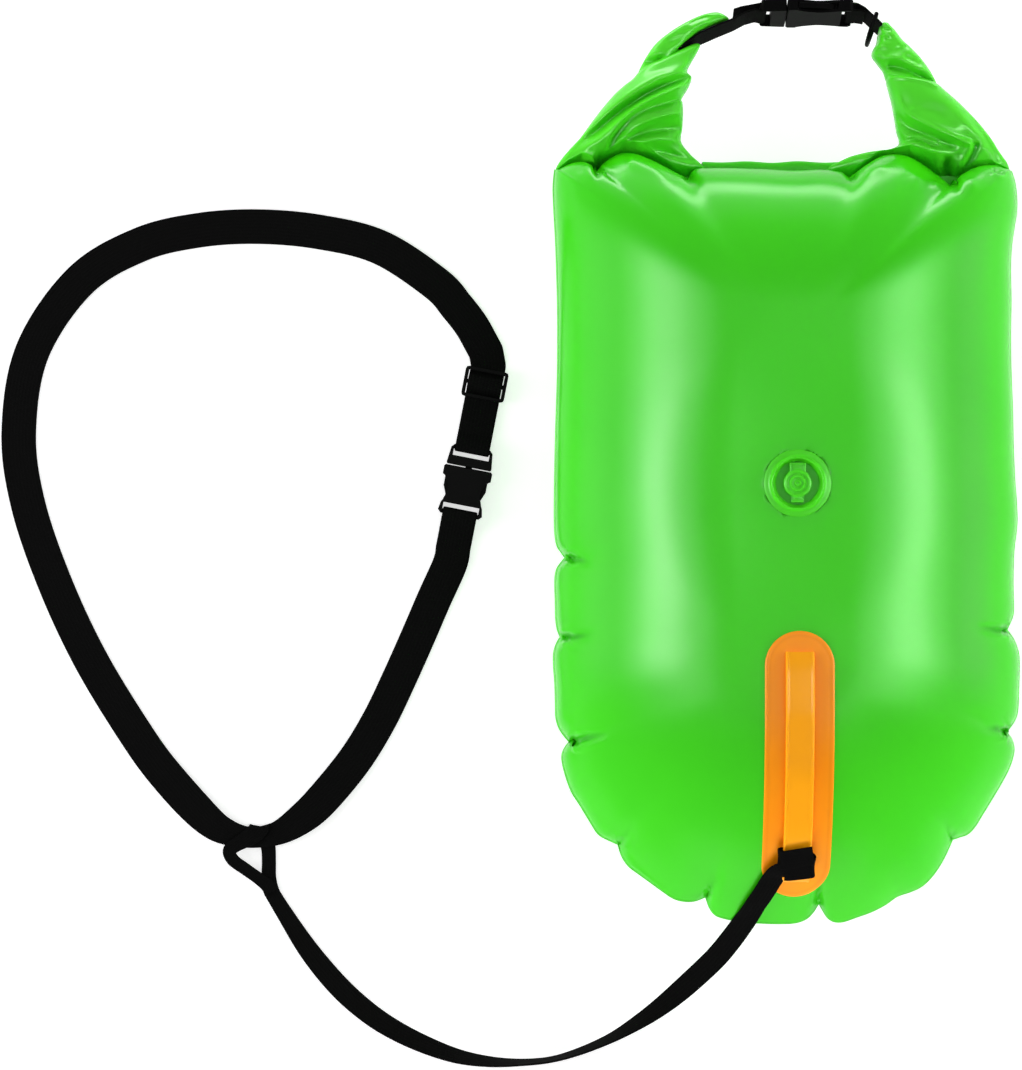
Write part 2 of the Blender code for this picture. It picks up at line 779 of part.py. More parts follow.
def rolled_mouth():
    """The rolled middle of the mouth behind the shoulder: a true spiral of the flattened neck."""
    centre_y = HALF_LENGTH + POUCH_THICKNESS + REST_GAP * 3 - roll_radius(ROLL_TURNS)
    steps = round(ROLL_TURNS * ROLL_STEPS_PER_TURN)
    left = NECK_OFFSET - NECK_WIDTH / 2
    right = NECK_OFFSET + NECK_WIDTH / 2
    rings = []
    for step in range(steps + 1):
        turn = step / ROLL_STEPS_PER_TURN
        angle = math.tau * (turn - ROLL_TURNS)
        near = roll_radius(turn) - ROLL_SHEET / 2
        far = near + ROLL_SHEET
        out = (math.cos(angle), math.sin(angle))
        low = (centre_y + near * out[0], ROLL_HEIGHT + near * out[1])
        high = (centre_y + far * out[0], ROLL_HEIGHT + far * out[1])
        rings.append([(left, *low), (right, *low), (right, *high), (left, *high)])
    bm = bmesh.new()
    closed_loft(bm, rings)
    place_mesh("rolled_mouth", bm, GREEN_PVC)
    stiffener = block(
        (left, centre_y - STIFFENER_WIDTH / 2, ROLL_HEIGHT - STIFFENER_THICKNESS / 2),
        (right, centre_y + STIFFENER_WIDTH / 2, ROLL_HEIGHT + STIFFENER_THICKNESS / 2),
    )
    place_mesh("mouth_stiffener", stiffener, STIFF_WHITE)


# Gathered arms from the shoulder to the tip: the middle's place across as a share of half the bag's
# width, its reach as a share of the handle's, then half its width and half its depth as shares of
# the widest ones. The last station sits on the webbing's own place
LEFT_ARM_SHARES = (
    (-0.676, 0.004, 1.00, 0.56),
    (-0.670, 0.140, 0.84, 0.87),
    (-0.651, 0.305, 0.65, 1.00),
    (-0.602, 0.478, 0.52, 0.97),
    (-0.541, 0.625, 0.41, 0.90),
    (-0.473, 0.762, 0.33, 0.83),
    (-0.372, 0.868, 0.26, 0.78),
)
RIGHT_ARM_SHARES = (
    (0.670, 0.004, 0.94, 0.56),
    (0.694, 0.140, 0.72, 0.87),
    (0.682, 0.285, 0.57, 0.97),
    (0.633, 0.440, 0.45, 0.92),
    (0.559, 0.595, 0.36, 0.85),
    (0.500, 0.710, 0.30, 0.78),
)


def gathered_arm(name, shares, tip):
    """An arm of the roll: a lofted, pleated tube that narrows to the webbing it holds."""
    frame = top_frame()
    (tip_x, tip_z), tip_way = tip
    tip_place = frame @ Vector((tip_x, 0, tip_z))
    tip_run = frame.to_3x3() @ Vector((tip_way.x, 0, tip_way.y))
    stations = []
    for across_share, reach_share, width_share, depth_share in shares:
        height = MIDDLE_HEIGHT + (tip_place.z - MIDDLE_HEIGHT) * reach_share
        place = Vector((across_share * HALF_WIDTH, HALF_LENGTH + reach_share * HANDLE_REACH, height))
        stations.append((place, width_share * ARM_HALF_WIDTH, depth_share * ARM_HALF_DEPTH))
    stations.append((tip_place, ARM_TIP_HALF_WIDTH, ARM_TIP_HALF_DEPTH))
    places = [station[0] for station in stations]
    runs = tangents(places)
    runs[0] = Vector((0, 1, 0))
    runs[-1] = tip_run
    bm = bmesh.new()
    rings = []
    for index, (run, (place, half_width, half_depth)) in enumerate(zip(runs, stations)):
        across = run.cross(Vector((0, 0, 1))).normalized()
        through = across.cross(run)
        twist = index / len(stations)
        fold = ARM_PLEAT_SHARE * math.sin(math.pi * index / (len(stations) - 1))
        ring = []
        for side in range(ARM_SIDES):
            angle = math.tau * side / ARM_SIDES
            pleat = 1 + fold * math.cos(ARM_PLEATS * angle + math.tau * twist)
            ring.append(
                place
                + across * (half_width * pleat * math.cos(angle))
                + through * (half_depth * pleat * math.sin(angle))
            )
        rings.append(ring)
    closed_loft(bm, rings)
    arm = place_mesh(name, bm, GREEN_PVC, smooth=PLEAT_SMOOTH_ANGLE)
    half = Vector((ARM_SLOT_DEPTH, TOP_WEBBING_WIDTH / 2 + REST_GAP, WEBBING_THICKNESS / 2 + REST_GAP))
    slot = place_mesh(name + "_slot", block(-half, half))
    slope = math.atan2(-tip_way.y, tip_way.x)
    slot.matrix_world = frame @ Matrix.Translation((tip_x, 0, tip_z)) @ Matrix.Rotation(slope, 4, "Y")
    cut_with(arm, slot)


def valve(prefix, side):
    """An oral valve: welded flange with a well, sliding stem, tethered cap and inner flap."""
    frame = valve_frame(side)
    lift = REST_GAP
    top = lift + FLANGE_THICKNESS
    floor = lift - WELL_DEPTH
    bead_in = BEAD_RADIUS - BEAD_WIDTH / 2
    bead_out = BEAD_RADIUS + BEAD_WIDTH / 2
    sleeve = STEM_RADIUS + RUN_GAP
    well_low = WELL_RADIUS - WELL_TAPER
    flange_profile = [
        (FLANGE_RADIUS, lift),
        (FLANGE_RADIUS, top),
        (bead_out, top),
        (BEAD_RADIUS, top + BEAD_HEIGHT),
        (bead_in, top),
        (WELL_RADIUS, lift),
        (well_low, floor),
        (sleeve, floor),
        (sleeve, floor - WELL_WALL),
        (well_low + WELL_WALL, floor - WELL_WALL),
        (WELL_RADIUS + WELL_WALL, lift),
    ]
    flange = place_mesh(prefix + "_valve_flange", revolve(flange_profile, VALVE_SEGMENTS), VALVE_PVC)
    flange.matrix_world = frame

    stem_top = top - STEM_TOP_DROP
    stop_top = floor - WELL_WALL - STEM_TRAVEL - RUN_GAP
    stem_bottom = stop_top - STEM_STOP_HEIGHT
    stem_profile = [
        (COLLAR_RADIUS, stem_top),
        (COLLAR_RADIUS, stem_top - COLLAR_HEIGHT),
        (STEM_RADIUS, stem_top - COLLAR_HEIGHT),
        (STEM_RADIUS, stop_top),
        (STEM_STOP_RADIUS, stop_top),
        (STEM_STOP_RADIUS, stem_bottom),
        (STEM_BORE, stem_bottom),
        (STEM_BORE, stem_top),
    ]
    slide = joint_frame(prefix + "_stem_slide_frame", frame)
    stem = place_mesh(prefix + "_valve_stem", revolve(stem_profile, VALVE_SEGMENTS), VALVE_PVC, slide)
    barrel_height = stem_top + REST_GAP + HINGE_BARREL
    ear = block(
        (-HINGE_WIDTH / 2, -HINGE_OFFSET - HINGE_BARREL, stem_top - COLLAR_HEIGHT),
        (HINGE_WIDTH / 2, -COLLAR_RADIUS + COLLAR_HEIGHT, stem_top - REST_GAP),
    )
    ear_part = place_mesh(prefix + "_stem_ear", ear, parent=slide)
    cut_with(stem, ear_part, "UNION")

    hinge_place = frame @ Matrix.Translation((0, -HINGE_OFFSET, barrel_height))
    hinge = joint_frame(prefix + "_cap_hinge_frame", hinge_place)
    cap_low = stem_top + REST_GAP
    cap_profile = [
        (PLUG_TIP_RADIUS, cap_low - PLUG_LENGTH),
        (PLUG_RADIUS, cap_low),
        (CAP_RADIUS, cap_low),
        (CAP_RADIUS, cap_low + CAP_HEIGHT - CAP_DISH),
        (CAP_RADIUS - CAP_DISH, cap_low + CAP_HEIGHT),
        (PLUG_RADIUS, cap_low + CAP_HEIGHT),
        (PLUG_RADIUS - CAP_DISH, cap_low + CAP_HEIGHT - CAP_DISH),
    ]
    cap_shape = revolve(cap_profile, VALVE_SEGMENTS, closed=False)
    to_hinge = Matrix.Translation((0, HINGE_OFFSET, -barrel_height))
    cap_shape.transform(to_hinge)
    cap = place_mesh(prefix + "_valve_cap", cap_shape, VALVE_PVC, hinge)
    strap_outline = [(0, -HINGE_BARREL), (HINGE_OFFSET - CAP_RADIUS / 2, -HINGE_BARREL)]
    strap_outline.append((HINGE_OFFSET - CAP_RADIUS / 2, HINGE_BARREL))
    for step in range(BARREL_STEPS):
        angle = math.pi / 2 + math.pi * step / BARREL_STEPS
        strap_outline.append((HINGE_BARREL * math.cos(angle), HINGE_BARREL * math.sin(angle)))
    tether = extruded(strap_outline, -HINGE_WIDTH / 2 + REST_GAP, HINGE_WIDTH / 2 - REST_GAP)
    tether.transform(Matrix(((0, 0, 1, 0), (1, 0, 0, 0), (0, 1, 0, 0), (0, 0, 0, 1))))
    tether_part = place_mesh(prefix + "_cap_tether_part", tether, parent=hinge)
    cut_with(cap, tether_part, "UNION")
    tab_reach = HINGE_OFFSET + TAB_REACH
    tab_start = HINGE_OFFSET + CAP_RADIUS / 2
    tab_outline = [
        (-TAB_WIDTH / 2, tab_start),
        (TAB_WIDTH / 2, tab_start),
        (TAB_WIDTH / 2, tab_reach - TAB_THICKNESS * 2),
        (TAB_WIDTH / 3, tab_reach),
        (-TAB_WIDTH / 3, tab_reach),
        (-TAB_WIDTH / 2, tab_reach - TAB_THICKNESS * 2),
    ]
    tab_low = cap_low - barrel_height + CAP_DISH
    tab_part = place_mesh(
        prefix + "_cap_tab_part", extruded(tab_outline, tab_low, tab_low + TAB_THICKNESS), parent=hinge
    )
    cut_with(cap, tab_part, "UNION")

    flap_half = FLAP_THICKNESS / 2
    flap_height = stem_bottom - REST_GAP - flap_half
    flap_place = frame @ Matrix.Translation((0, -FLAP_HINGE_OFFSET, flap_height))
    flap_hinge = joint_frame(prefix + "_flap_hinge_frame", flap_place)
    outline = []
    for step in range(FLAP_SEGMENTS - 2):
        angle = -math.pi / 2 + math.tau * (step + 3 / 2) / FLAP_SEGMENTS
        outline.append((FLAP_RADIUS * math.cos(angle), FLAP_HINGE_OFFSET + FLAP_RADIUS * math.sin(angle)))
    half_tab = FLAP_RADIUS / 2
    outline.extend([(-half_tab, 0), (half_tab, 0)])
    place_mesh(
        prefix + "_valve_flap", extruded(outline, -flap_half, flap_half), VALVE_PVC, flap_hinge
    )


def handle_patch():
    """The stadium-shaped patch: a slice of the front skin's own shape, lifted off it."""
    radius = PATCH_WIDTH / 2
    outline = []
    for centre_y, start in ((PATCH_TOP - radius, 0), (PATCH_BOTTOM + radius, math.pi)):
        for step in range(PATCH_ROUND_STEPS + 1):
            angle = start + math.pi * step / PATCH_ROUND_STEPS
            outline.append((PATCH_CENTRE + radius * math.cos(angle), centre_y + radius * math.sin(angle)))
    prism = extruded(outline, MIDDLE_HEIGHT + FRONT_RISE * PATCH_DEPTH_SHARE, MIDDLE_HEIGHT + FRONT_RISE * 2)
    patch = place_mesh("handle_patch", prism, ORANGE_PVC)
    cut_with(patch, place_mesh("handle_patch_top", lifted_front(REST_GAP + PATCH_THICKNESS)), "INTERSECT")
    cut_with(patch, place_mesh("handle_patch_under", lifted_front(REST_GAP)))


def handle_strip():
    """The raised strip, welded down at both ends and lifted between them."""
    height = front_profile(REST_GAP + PATCH_THICKNESS)
    places = []
    for station in range(STRIP_STATIONS):
        y = STRIP_TOP + (STRIP_BOTTOM - STRIP_TOP) * station / (STRIP_STATIONS - 1)
        place, _, outward = profile_frame(height, y)
        from_end = min(STRIP_TOP - y, y - STRIP_BOTTOM)
        ramp = min(1.0, from_end / STRIP_RAMP)
        lift = STRIP_SEAT + STRIP_RISE * ramp * ramp * (3 - 2 * ramp) + STRIP_THICKNESS / 2
        places.append(place + outward * lift)
    across = [Vector((1, 0, 0))] * len(places)
    strap("handle_strip", places, across, STRIP_WIDTH, ORANGE_STRIP, STRIP_THICKNESS)


def leash_patch_loop():
    """The leash's end: under the strip, round its edge, back over it and down to the sewn tail."""
    height = front_profile(REST_GAP + PATCH_THICKNESS)
    place, downhill, outward = profile_frame(height, LEASH_LOOP_Y)
    under = REST_GAP * 2 + WEBBING_THICKNESS / 2
    strip_top = STRIP_SEAT + STRIP_RISE + STRIP_THICKNESS
    over = strip_top + REST_GAP * 2 + WEBBING_THICKNESS / 2
    middle = (under + over) / 2
    half = STRIP_WIDTH / 2
    turn = (over - under) / 2
    tail = half + LEASH_LOOP_TAIL
    section = [(-tail, under), (-half, under), (half, under)]
    for step in range(1, LOOP_TURN_STEPS):
        angle = math.pi * step / LOOP_TURN_STEPS
        section.append((half + turn * math.sin(angle), middle - turn * math.cos(angle)))
    section += [(half, over), (-half, over), (-tail, under + WEBBING_THICKNESS + REST_GAP)]
    places = [place + Vector((across, 0, 0)) + outward * up for across, up in section]
    strap("leash_patch_loop", places, [downhill] * len(places), LEASH_WIDTH)


def line_frame(distance, lift):
    """Frame on the belt's buckle line: +X towards the belt's sewn end, a lift over the floor."""
    heading = math.radians(BELT_LINE_HEADING)
    along = Vector((math.cos(heading), math.sin(heading), 0)) * distance
    centre = Vector((*BELT_BUCKLE_CENTRE, lift)) + along
    return Matrix.Translation(centre) @ Matrix.Rotation(heading, 4, "Z")


def mirrored(half_outline):
    """Complete an outline given for the +Y side."""
    return half_outline + [(x, -y) for x, y in reversed(half_outline)]


def buckle(prefix, sizes, frame):
    """A side-release buckle: housing, plug with its guide, and two spring prongs."""
    half_height = sizes.height / 2
    half_width = sizes.width / 2
    half_waist = sizes.waist / 2
    end_half = half_width - sizes.lip / 5
    waist_from = sizes.lip + sizes.round
    waist_to = sizes.length - sizes.end_rail - sizes.slot - sizes.round
    waist_mid = (waist_from + waist_to) / 2
    inner_half = half_height - sizes.plate
    mouth_half = half_width - sizes.lip / 2
    arm_out = mouth_half - sizes.mouth_clear

    outline = mirrored([
        (0, half_width - sizes.round / 2),
        (sizes.round / 2, half_width),
        (sizes.lip, half_width),
        (sizes.lip + sizes.round / 4, half_width - sizes.round),
        (waist_from + sizes.round, (half_waist + half_width) / 2 - sizes.round / 2),
        (waist_mid - sizes.round, half_waist),
        (waist_mid + sizes.round, half_waist),
        (waist_to, (half_waist + end_half) / 2),
        (waist_to + sizes.slot / 2, end_half - sizes.round / 2),
        (sizes.length - sizes.round, end_half),
        (sizes.length, end_half - sizes.round),
    ])
    housing_mesh = extruded(outline, -half_height, half_height)
    rims = [edge for edge in housing_mesh.edges if len({round(v.co.z, 6) for v in edge.verts}) == 1]
    bmesh.ops.bevel(
        housing_mesh, geom=rims, offset=sizes.round / 4, segments=1, profile=0.5, affect="EDGES", material=-1
    )
    housing = place_mesh(prefix + "_buckle_housing", housing_mesh, BLACK_ACETAL)
    housing.matrix_world = frame
    slot_from = sizes.length - sizes.end_rail - sizes.slot
    slot_half = sizes.webbing / 2 + REST_GAP * 2
    cavity_end = slot_from - sizes.plate
    cuts = {
        "mouth": ((-CUT_OVERRUN, -mouth_half, -inner_half), (cavity_end, mouth_half, inner_half)),
        "windows": (
            (sizes.lip, -half_width - CUT_OVERRUN, -inner_half),
            (cavity_end, half_width + CUT_OVERRUN, inner_half),
        ),
        "slot": (
            (slot_from, -slot_half, -half_height - CUT_OVERRUN),
            (slot_from + sizes.slot, slot_half, half_height + CUT_OVERRUN),
        ),
        "rail_front": (
            (slot_from, -slot_half, sizes.rail_height / 2),
            (sizes.length + CUT_OVERRUN, slot_half, half_height + CUT_OVERRUN),
        ),
        "rail_back": (
            (slot_from, -slot_half, -half_height - CUT_OVERRUN),
            (sizes.length + CUT_OVERRUN, slot_half, -sizes.rail_height / 2),
        ),
    }
    for label, (low, high) in cuts.items():
        cutter = place_mesh(f"{prefix}_housing_{label}", block(low, high))
        cutter.matrix_world = frame
        cut_with(housing, cutter)

    arm_half_height = inner_half - sizes.mouth_clear
    pivot = Vector((sizes.arm / 2, sizes.arm_root, 0))
    base_front = pivot.x - sizes.arm / 2 - REST_GAP
    base_outline = mirrored([
        (base_front, half_width - sizes.lip / 4),
        (base_front - sizes.round / 2, half_width - sizes.lip / 6),
        (-sizes.base_length + sizes.round, end_half - sizes.round / 2),
        (-sizes.base_length, end_half - sizes.round * 3 / 2),
    ])
    base_mesh = extruded(base_outline, -half_height, half_height)
    rims = [edge for edge in base_mesh.edges if len({round(v.co.z, 6) for v in edge.verts}) == 1]
    bmesh.ops.bevel(
        base_mesh, geom=rims, offset=sizes.round / 4, segments=1, profile=0.5, affect="EDGES", material=-1
    )
    base_mesh.transform(Matrix.Translation((-sizes.mouth_clear, 0, 0)))
    plug = place_mesh(prefix + "_buckle_plug", base_mesh, BLACK_ACETAL)
    plug.matrix_world = frame
    guide = place_mesh(
        prefix + "_plug_guide_part",
        block(
            (base_front - sizes.round, -sizes.guide / 2, -arm_half_height),
            (cavity_end - sizes.round, sizes.guide / 2, arm_half_height),
        ),
    )
    guide.matrix_world = frame
    cut_with(plug, guide, "UNION")
    plug_slot_from = -sizes.base_length + sizes.end_rail - sizes.mouth_clear
    plug_cuts = {
        "slot": (
            (plug_slot_from, -slot_half, -half_height - CUT_OVERRUN),
            (plug_slot_from + sizes.slot, slot_half, half_height + CUT_OVERRUN),
        ),
        "rail_front": (
            (-sizes.base_length - CUT_OVERRUN, -slot_half, sizes.rail_height / 2),
            (plug_slot_from + sizes.slot, slot_half, half_height + CUT_OVERRUN),
        ),
        "rail_back": (
            (-sizes.base_length - CUT_OVERRUN, -slot_half, -half_height - CUT_OVERRUN),
            (plug_slot_from + sizes.slot, slot_half, -sizes.rail_height / 2),
        ),
    }
    for label, (low, high) in plug_cuts.items():
        cutter = place_mesh(f"{prefix}_plug_{label}", block(low, high))
        cutter.matrix_world = frame
        cut_with(plug, cutter)

    nose = cavity_end - sizes.round
    shoulder = sizes.lip + sizes.mouth_clear
    pad_out = arm_out + sizes.barb
    half_arm = sizes.arm / 2
    prong_half = [
        (sizes.arm, -half_arm),
        (nose - sizes.arm, -half_arm / 2),
        (nose, half_arm / 2),
        (nose - sizes.round / 2, arm_out - pivot.y - sizes.barb / 2),
        ((shoulder + nose) / 2, pad_out - pivot.y),
        (shoulder, pad_out - pivot.y),
        (shoulder, half_arm + sizes.mouth_clear),
        (sizes.arm, half_arm),
    ]
    for label, hand in (("left", 1), ("right", -1)):
        origin = frame @ Matrix.Translation((pivot.x, hand * pivot.y, 0))
        hinge = joint_frame(f"{prefix}_{label}_prong_frame", origin)
        outline = [(x - pivot.x, hand * y) for x, y in prong_half]
        for step in range(ARM_ROOT_STEPS + 1):
            angle = math.pi / 2 + math.pi * step / ARM_ROOT_STEPS
            outline.append((half_arm * math.cos(angle), hand * half_arm * math.sin(angle)))
        if hand < 0:
            outline.reverse()
        place_mesh(
            f"{prefix}_buckle_{label}_prong",
            extruded(outline, -arm_half_height, arm_half_height),
            BLACK_ACETAL,
            hinge,
        )


def rail_fold(centre, sizes, hand):
    """Webbing folded round a rail, from under it to over it. Hand is +1 where the slot lies at -X."""
    reach = sizes.end_rail / 2 + REST_GAP + WEBBING_THICKNESS / 2
    over = sizes.rail_height / 2 + REST_GAP + WEBBING_THICKNESS / 2
    return [(centre + hand * reach * x, over * z) for x, z in RAIL_FOLD_SHARES]


def sectioned_strap(name, frame, section, width, lead=()):
    """Sweep a strap along a headed lead, then through a section given along a line and over it."""
    places, widths = [], []
    for x, y, z, heading in lead:
        turn = math.radians(heading)
        places.append(Vector((x, y, z)))
        widths.append(Vector((math.cos(turn), math.sin(turn), 0)))
    across = frame.to_3x3() @ Vector((0, 1, 0))
    for x, z in section:
        places.append(frame @ Vector((x, 0, z)))
        widths.append(across)
    return strap(name, places, widths, width)


def belt_line(sizes):
    """Frame of the belt's buckle, whose origin is the mouth of its housing."""
    offset = (sizes.base_length - sizes.length) / 2
    return line_frame(offset, sizes.height / 2 + BELT_BUCKLE_LIFT), offset


def belt_fittings():
    """The belt's buckle, the sewn end on its housing and the adjuster webbing through its slider."""
    sizes = BELT_BUCKLE
    frame, offset = belt_line(sizes)
    buckle("belt", sizes, frame)
    floor = WEBBING_THICKNESS / 2 + FLOOR_GAP - frame.translation.z
    second = floor + WEBBING_THICKNESS + REST_GAP

    housing_rail = sizes.length - sizes.end_rail / 2
    fold_under = sizes.length + END_FOLD_LENGTH * FOLD_UNDER_SHARE
    section = [(fold_under, floor), (sizes.length + sizes.slot, floor * FOLD_LIFT_SHARE)]
    section += rail_fold(housing_rail, sizes, 1)
    section += [
        (sizes.length + sizes.slot, sizes.rail_height / 2),
        (sizes.length + END_FOLD_LENGTH / 2, second + WEBBING_THICKNESS / 2),
        (fold_under, second),
        (sizes.length + END_FOLD_LENGTH, second),
    ]
    sectioned_strap("belt_sewn_end", frame, section, BELT_WIDTH)

    plug_rail = -sizes.base_length - sizes.mouth_clear + sizes.end_rail / 2
    middle = -SLIDER_DISTANCE - offset
    half = SLIDER_LENGTH / 2
    gap = REST_GAP + WEBBING_THICKNESS / 2
    low = SLIDER_LIFT - frame.translation.z
    high = low + SLIDER_THICKNESS
    wrap = SLIDER_BAR / 2 + gap
    outer_wrap = wrap + WEBBING_THICKNESS + REST_GAP
    slot_end = half - SLIDER_RAIL
    fold = list(reversed(rail_fold(plug_rail, sizes, -1)))
    section = [
        (middle - half - SLIDER_RAIL, floor),
        (middle - half, low - gap),
        (middle - slot_end, low - gap),
        (middle - outer_wrap - gap, high - gap),
        (middle - outer_wrap + gap, high + WEBBING_THICKNESS + REST_GAP + gap),
        (middle, high + WEBBING_THICKNESS + REST_GAP + gap),
        (middle + outer_wrap - gap, high + WEBBING_THICKNESS + REST_GAP + gap),
        (middle + outer_wrap + gap, high - gap),
        (middle + slot_end, low - gap),
        (middle + half, low - gap),
        (middle + half + SLIDER_RAIL, second),
        (plug_rail - END_FOLD_LENGTH / 2, second + WEBBING_THICKNESS / 2),
        (plug_rail - sizes.slot, sizes.rail_height / 2),
    ]
    section += fold
    section += [
        (plug_rail - sizes.slot * 2, floor),
        (middle + half, floor),
        (middle + slot_end, floor),
        (middle + wrap + gap, low - gap),
        (middle + wrap, low),
        (middle + wrap, high),
        (middle + wrap / 2, high + gap),
        (middle - wrap / 2, high + gap),
        (middle - wrap, high),
        (middle - wrap, low),
        (middle - wrap / 2, low - gap),
        (middle, low - gap),
    ]
    sectioned_strap("belt_adjuster_webbing", frame, section, BELT_WIDTH, ADJUSTER_LEAD_ROUTE)


def top_frame():
    """Frame of the buckle at the top of the handle, tipped about the line of the handle."""
    origin = Vector((TOP_BUCKLE_OFFSET, HALF_LENGTH + HANDLE_REACH, MIDDLE_HEIGHT - HANDLE_FALL))
    return Matrix.Translation(origin) @ Matrix.Rotation(math.radians(TOP_BUCKLE_TIP), 4, "X")


def left_tip():
    """Where the mouth's webbing enters the left arm, in the buckle's frame, and its direction."""
    place = (-TOP_BUCKLE.base_length - LEFT_TAIL_LENGTH, -LEFT_TAIL_DROP)
    return place, Vector((1, LEFT_TAIL_SLOPE)).normalized()


def right_tip():
    """Where the mouth's webbing enters the right arm, in the buckle's frame, and its direction."""
    place = (TOP_BUCKLE.length + RIGHT_TAIL_LENGTH, -RIGHT_TAIL_DROP)
    return place, Vector((-1, RIGHT_TAIL_SLOPE)).normalized()


def right_free_run():
    """Both ends of the straight, free run of webbing that carries the D-ring."""
    (tip_x, tip_z), run = right_tip()
    reach = TOP_BUCKLE.slot * 2
    housing_rail = TOP_BUCKLE.length - TOP_BUCKLE.end_rail / 2
    near_buckle = (housing_rail + TAIL_LENGTH * 2 / 3, -(REST_GAP + WEBBING_THICKNESS) / 2)
    return near_buckle, (tip_x + run.x * reach, tip_z + run.y * reach)


def mouth_webbing():
    """The buckle at the top and the two ends of the mouth's webbing, folded round its rails."""
    sizes = TOP_BUCKLE
    frame = top_frame()
    buckle("top", sizes, frame)
    gap = REST_GAP + WEBBING_THICKNESS
    inside = ARM_SLOT_DEPTH - REST_GAP

    (tip_x, tip_z), run = left_tip()
    plug_rail = -sizes.base_length - sizes.mouth_clear + sizes.end_rail / 2
    section = [
        (tip_x - run.x * inside, tip_z - run.y * inside),
        (tip_x + run.x * sizes.slot, tip_z + run.y * sizes.slot),
        (plug_rail - TAIL_LENGTH, -sizes.rail_height / 2 - gap / 2),
        (plug_rail - sizes.slot, -sizes.rail_height / 2),
    ]
    section += rail_fold(plug_rail, sizes, -1)
    section += [
        (plug_rail - sizes.slot, sizes.rail_height / 2),
        (plug_rail - TAIL_LENGTH, -sizes.rail_height / 2 + gap),
        (plug_rail - TAIL_LENGTH * 4 / 3, -sizes.rail_height + gap),
    ]
    sectioned_strap("mouth_webbing_left", frame, section, TOP_WEBBING_WIDTH)

    (tip_x, tip_z), run = right_tip()
    housing_rail = sizes.length - sizes.end_rail / 2
    section = [
        (housing_rail + TAIL_LENGTH * 2 / 3, -sizes.rail_height / 2 - gap),
        (housing_rail + sizes.slot, -sizes.rail_height * 2 / 3),
    ]
    section += rail_fold(housing_rail, sizes, 1)
    section += [
        (housing_rail + sizes.slot, sizes.rail_height * 2 / 3),
        *right_free_run(),
        (tip_x, tip_z),
        (tip_x - run.x * inside, tip_z - run.y * inside),
    ]
    sectioned_strap("mouth_webbing_right", frame, section, TOP_WEBBING_WIDTH)


def d_ring():
    """A D-ring threaded on the right end of the mouth's webbing, hanging inside the handle."""
    frame = top_frame()
    near_buckle, near_arm = [Vector(place) for place in right_free_run()]
    run = (near_buckle - near_arm).normalized()
    seat = WEBBING_THICKNESS / 2 + REST_GAP * 2 + RING_WIRE_RADIUS
    bar = near_arm.lerp(near_buckle, RING_PLACE_SHARE) + Vector((run.y, -run.x)) * seat
    hang = math.radians(RING_HANG)
    place = frame @ Matrix.Translation((bar.x, 0, bar.y)) @ Matrix.Rotation(hang, 4, "Y")
    hinge = joint_frame("d_ring_frame", place)
    half = RING_INNER_WIDTH / 2 + RING_WIRE_RADIUS
    depth = RING_INNER_DEPTH + RING_WIRE_RADIUS * 2
    line = [Vector((0, -half * RING_BAR_SHARE, 0)), Vector((0, half * RING_BAR_SHARE, 0))]
    line += [Vector((RING_WIRE_RADIUS / 2, half * RING_CORNER_SHARE, 0))]
    for step in range(RING_ARC_STEPS + 1):
        angle = math.pi * step / RING_ARC_STEPS
        side = math.cos(angle)
        bow = math.sin(angle) ** RING_BOW_POWER
        line.append(Vector((depth * (1 + bow) / 2, half * side, 0)))
    line += [Vector((RING_WIRE_RADIUS / 2, -half * RING_CORNER_SHARE, 0))]
    bm = bmesh.new()
    rings = []
    count = len(line)
    for index, place_on in enumerate(line):
        run_on = (line[(index + 1) % count] - line[index - 1]).normalized()
        across = Vector((run_on.y, -run_on.x, 0))
        ring = []
        for side in range(RING_SIDES):
            angle = math.tau * side / RING_SIDES
            ring.append(
                place_on
                + across * (RING_WIRE_RADIUS * math.cos(angle))
                + Vector((0, 0, RING_WIRE_RADIUS * math.sin(angle)))
            )
        rings.append(ring)
    made = closed_loft(bm, rings, close_ends=False)
    for side in range(RING_SIDES):
        after = (side + 1) % RING_SIDES
        bm.faces.new((made[-1][side], made[-1][after], made[0][after], made[0][side]))
    place_mesh("d_ring", bm, BLACK_ACETAL, hinge)


def slider_bars():
    """A three-bar slider with rounded corners."""
    half_width = SLIDER_WIDTH / 2
    half_length = SLIDER_LENGTH / 2
    corners = [
        (-half_length, -half_width),
        (half_length, -half_width),
        (half_length, half_width),
        (-half_length, half_width),
    ]
    frame = line_frame(-SLIDER_DISTANCE, SLIDER_LIFT + SLIDER_THICKNESS / 2)
    shape = extruded(rounded_outline(corners, SLIDER_ROUND, 2), -SLIDER_THICKNESS / 2, SLIDER_THICKNESS / 2)
    slider = place_mesh("belt_slider", shape, BLACK_ACETAL)
    slider.matrix_world = frame
    slot_half = half_width - SLIDER_RAIL
    for label, hand in (("near", 1), ("far", -1)):
        start, end = SLIDER_BAR / 2, half_length - SLIDER_RAIL
        low = (min(hand * start, hand * end), -slot_half, -SLIDER_THICKNESS)
        high = (max(hand * start, hand * end), slot_half, SLIDER_THICKNESS)
        cutter = place_mesh(f"slider_{label}_slot", block(low, high))
        cutter.matrix_world = frame
        cut_with(slider, cutter)


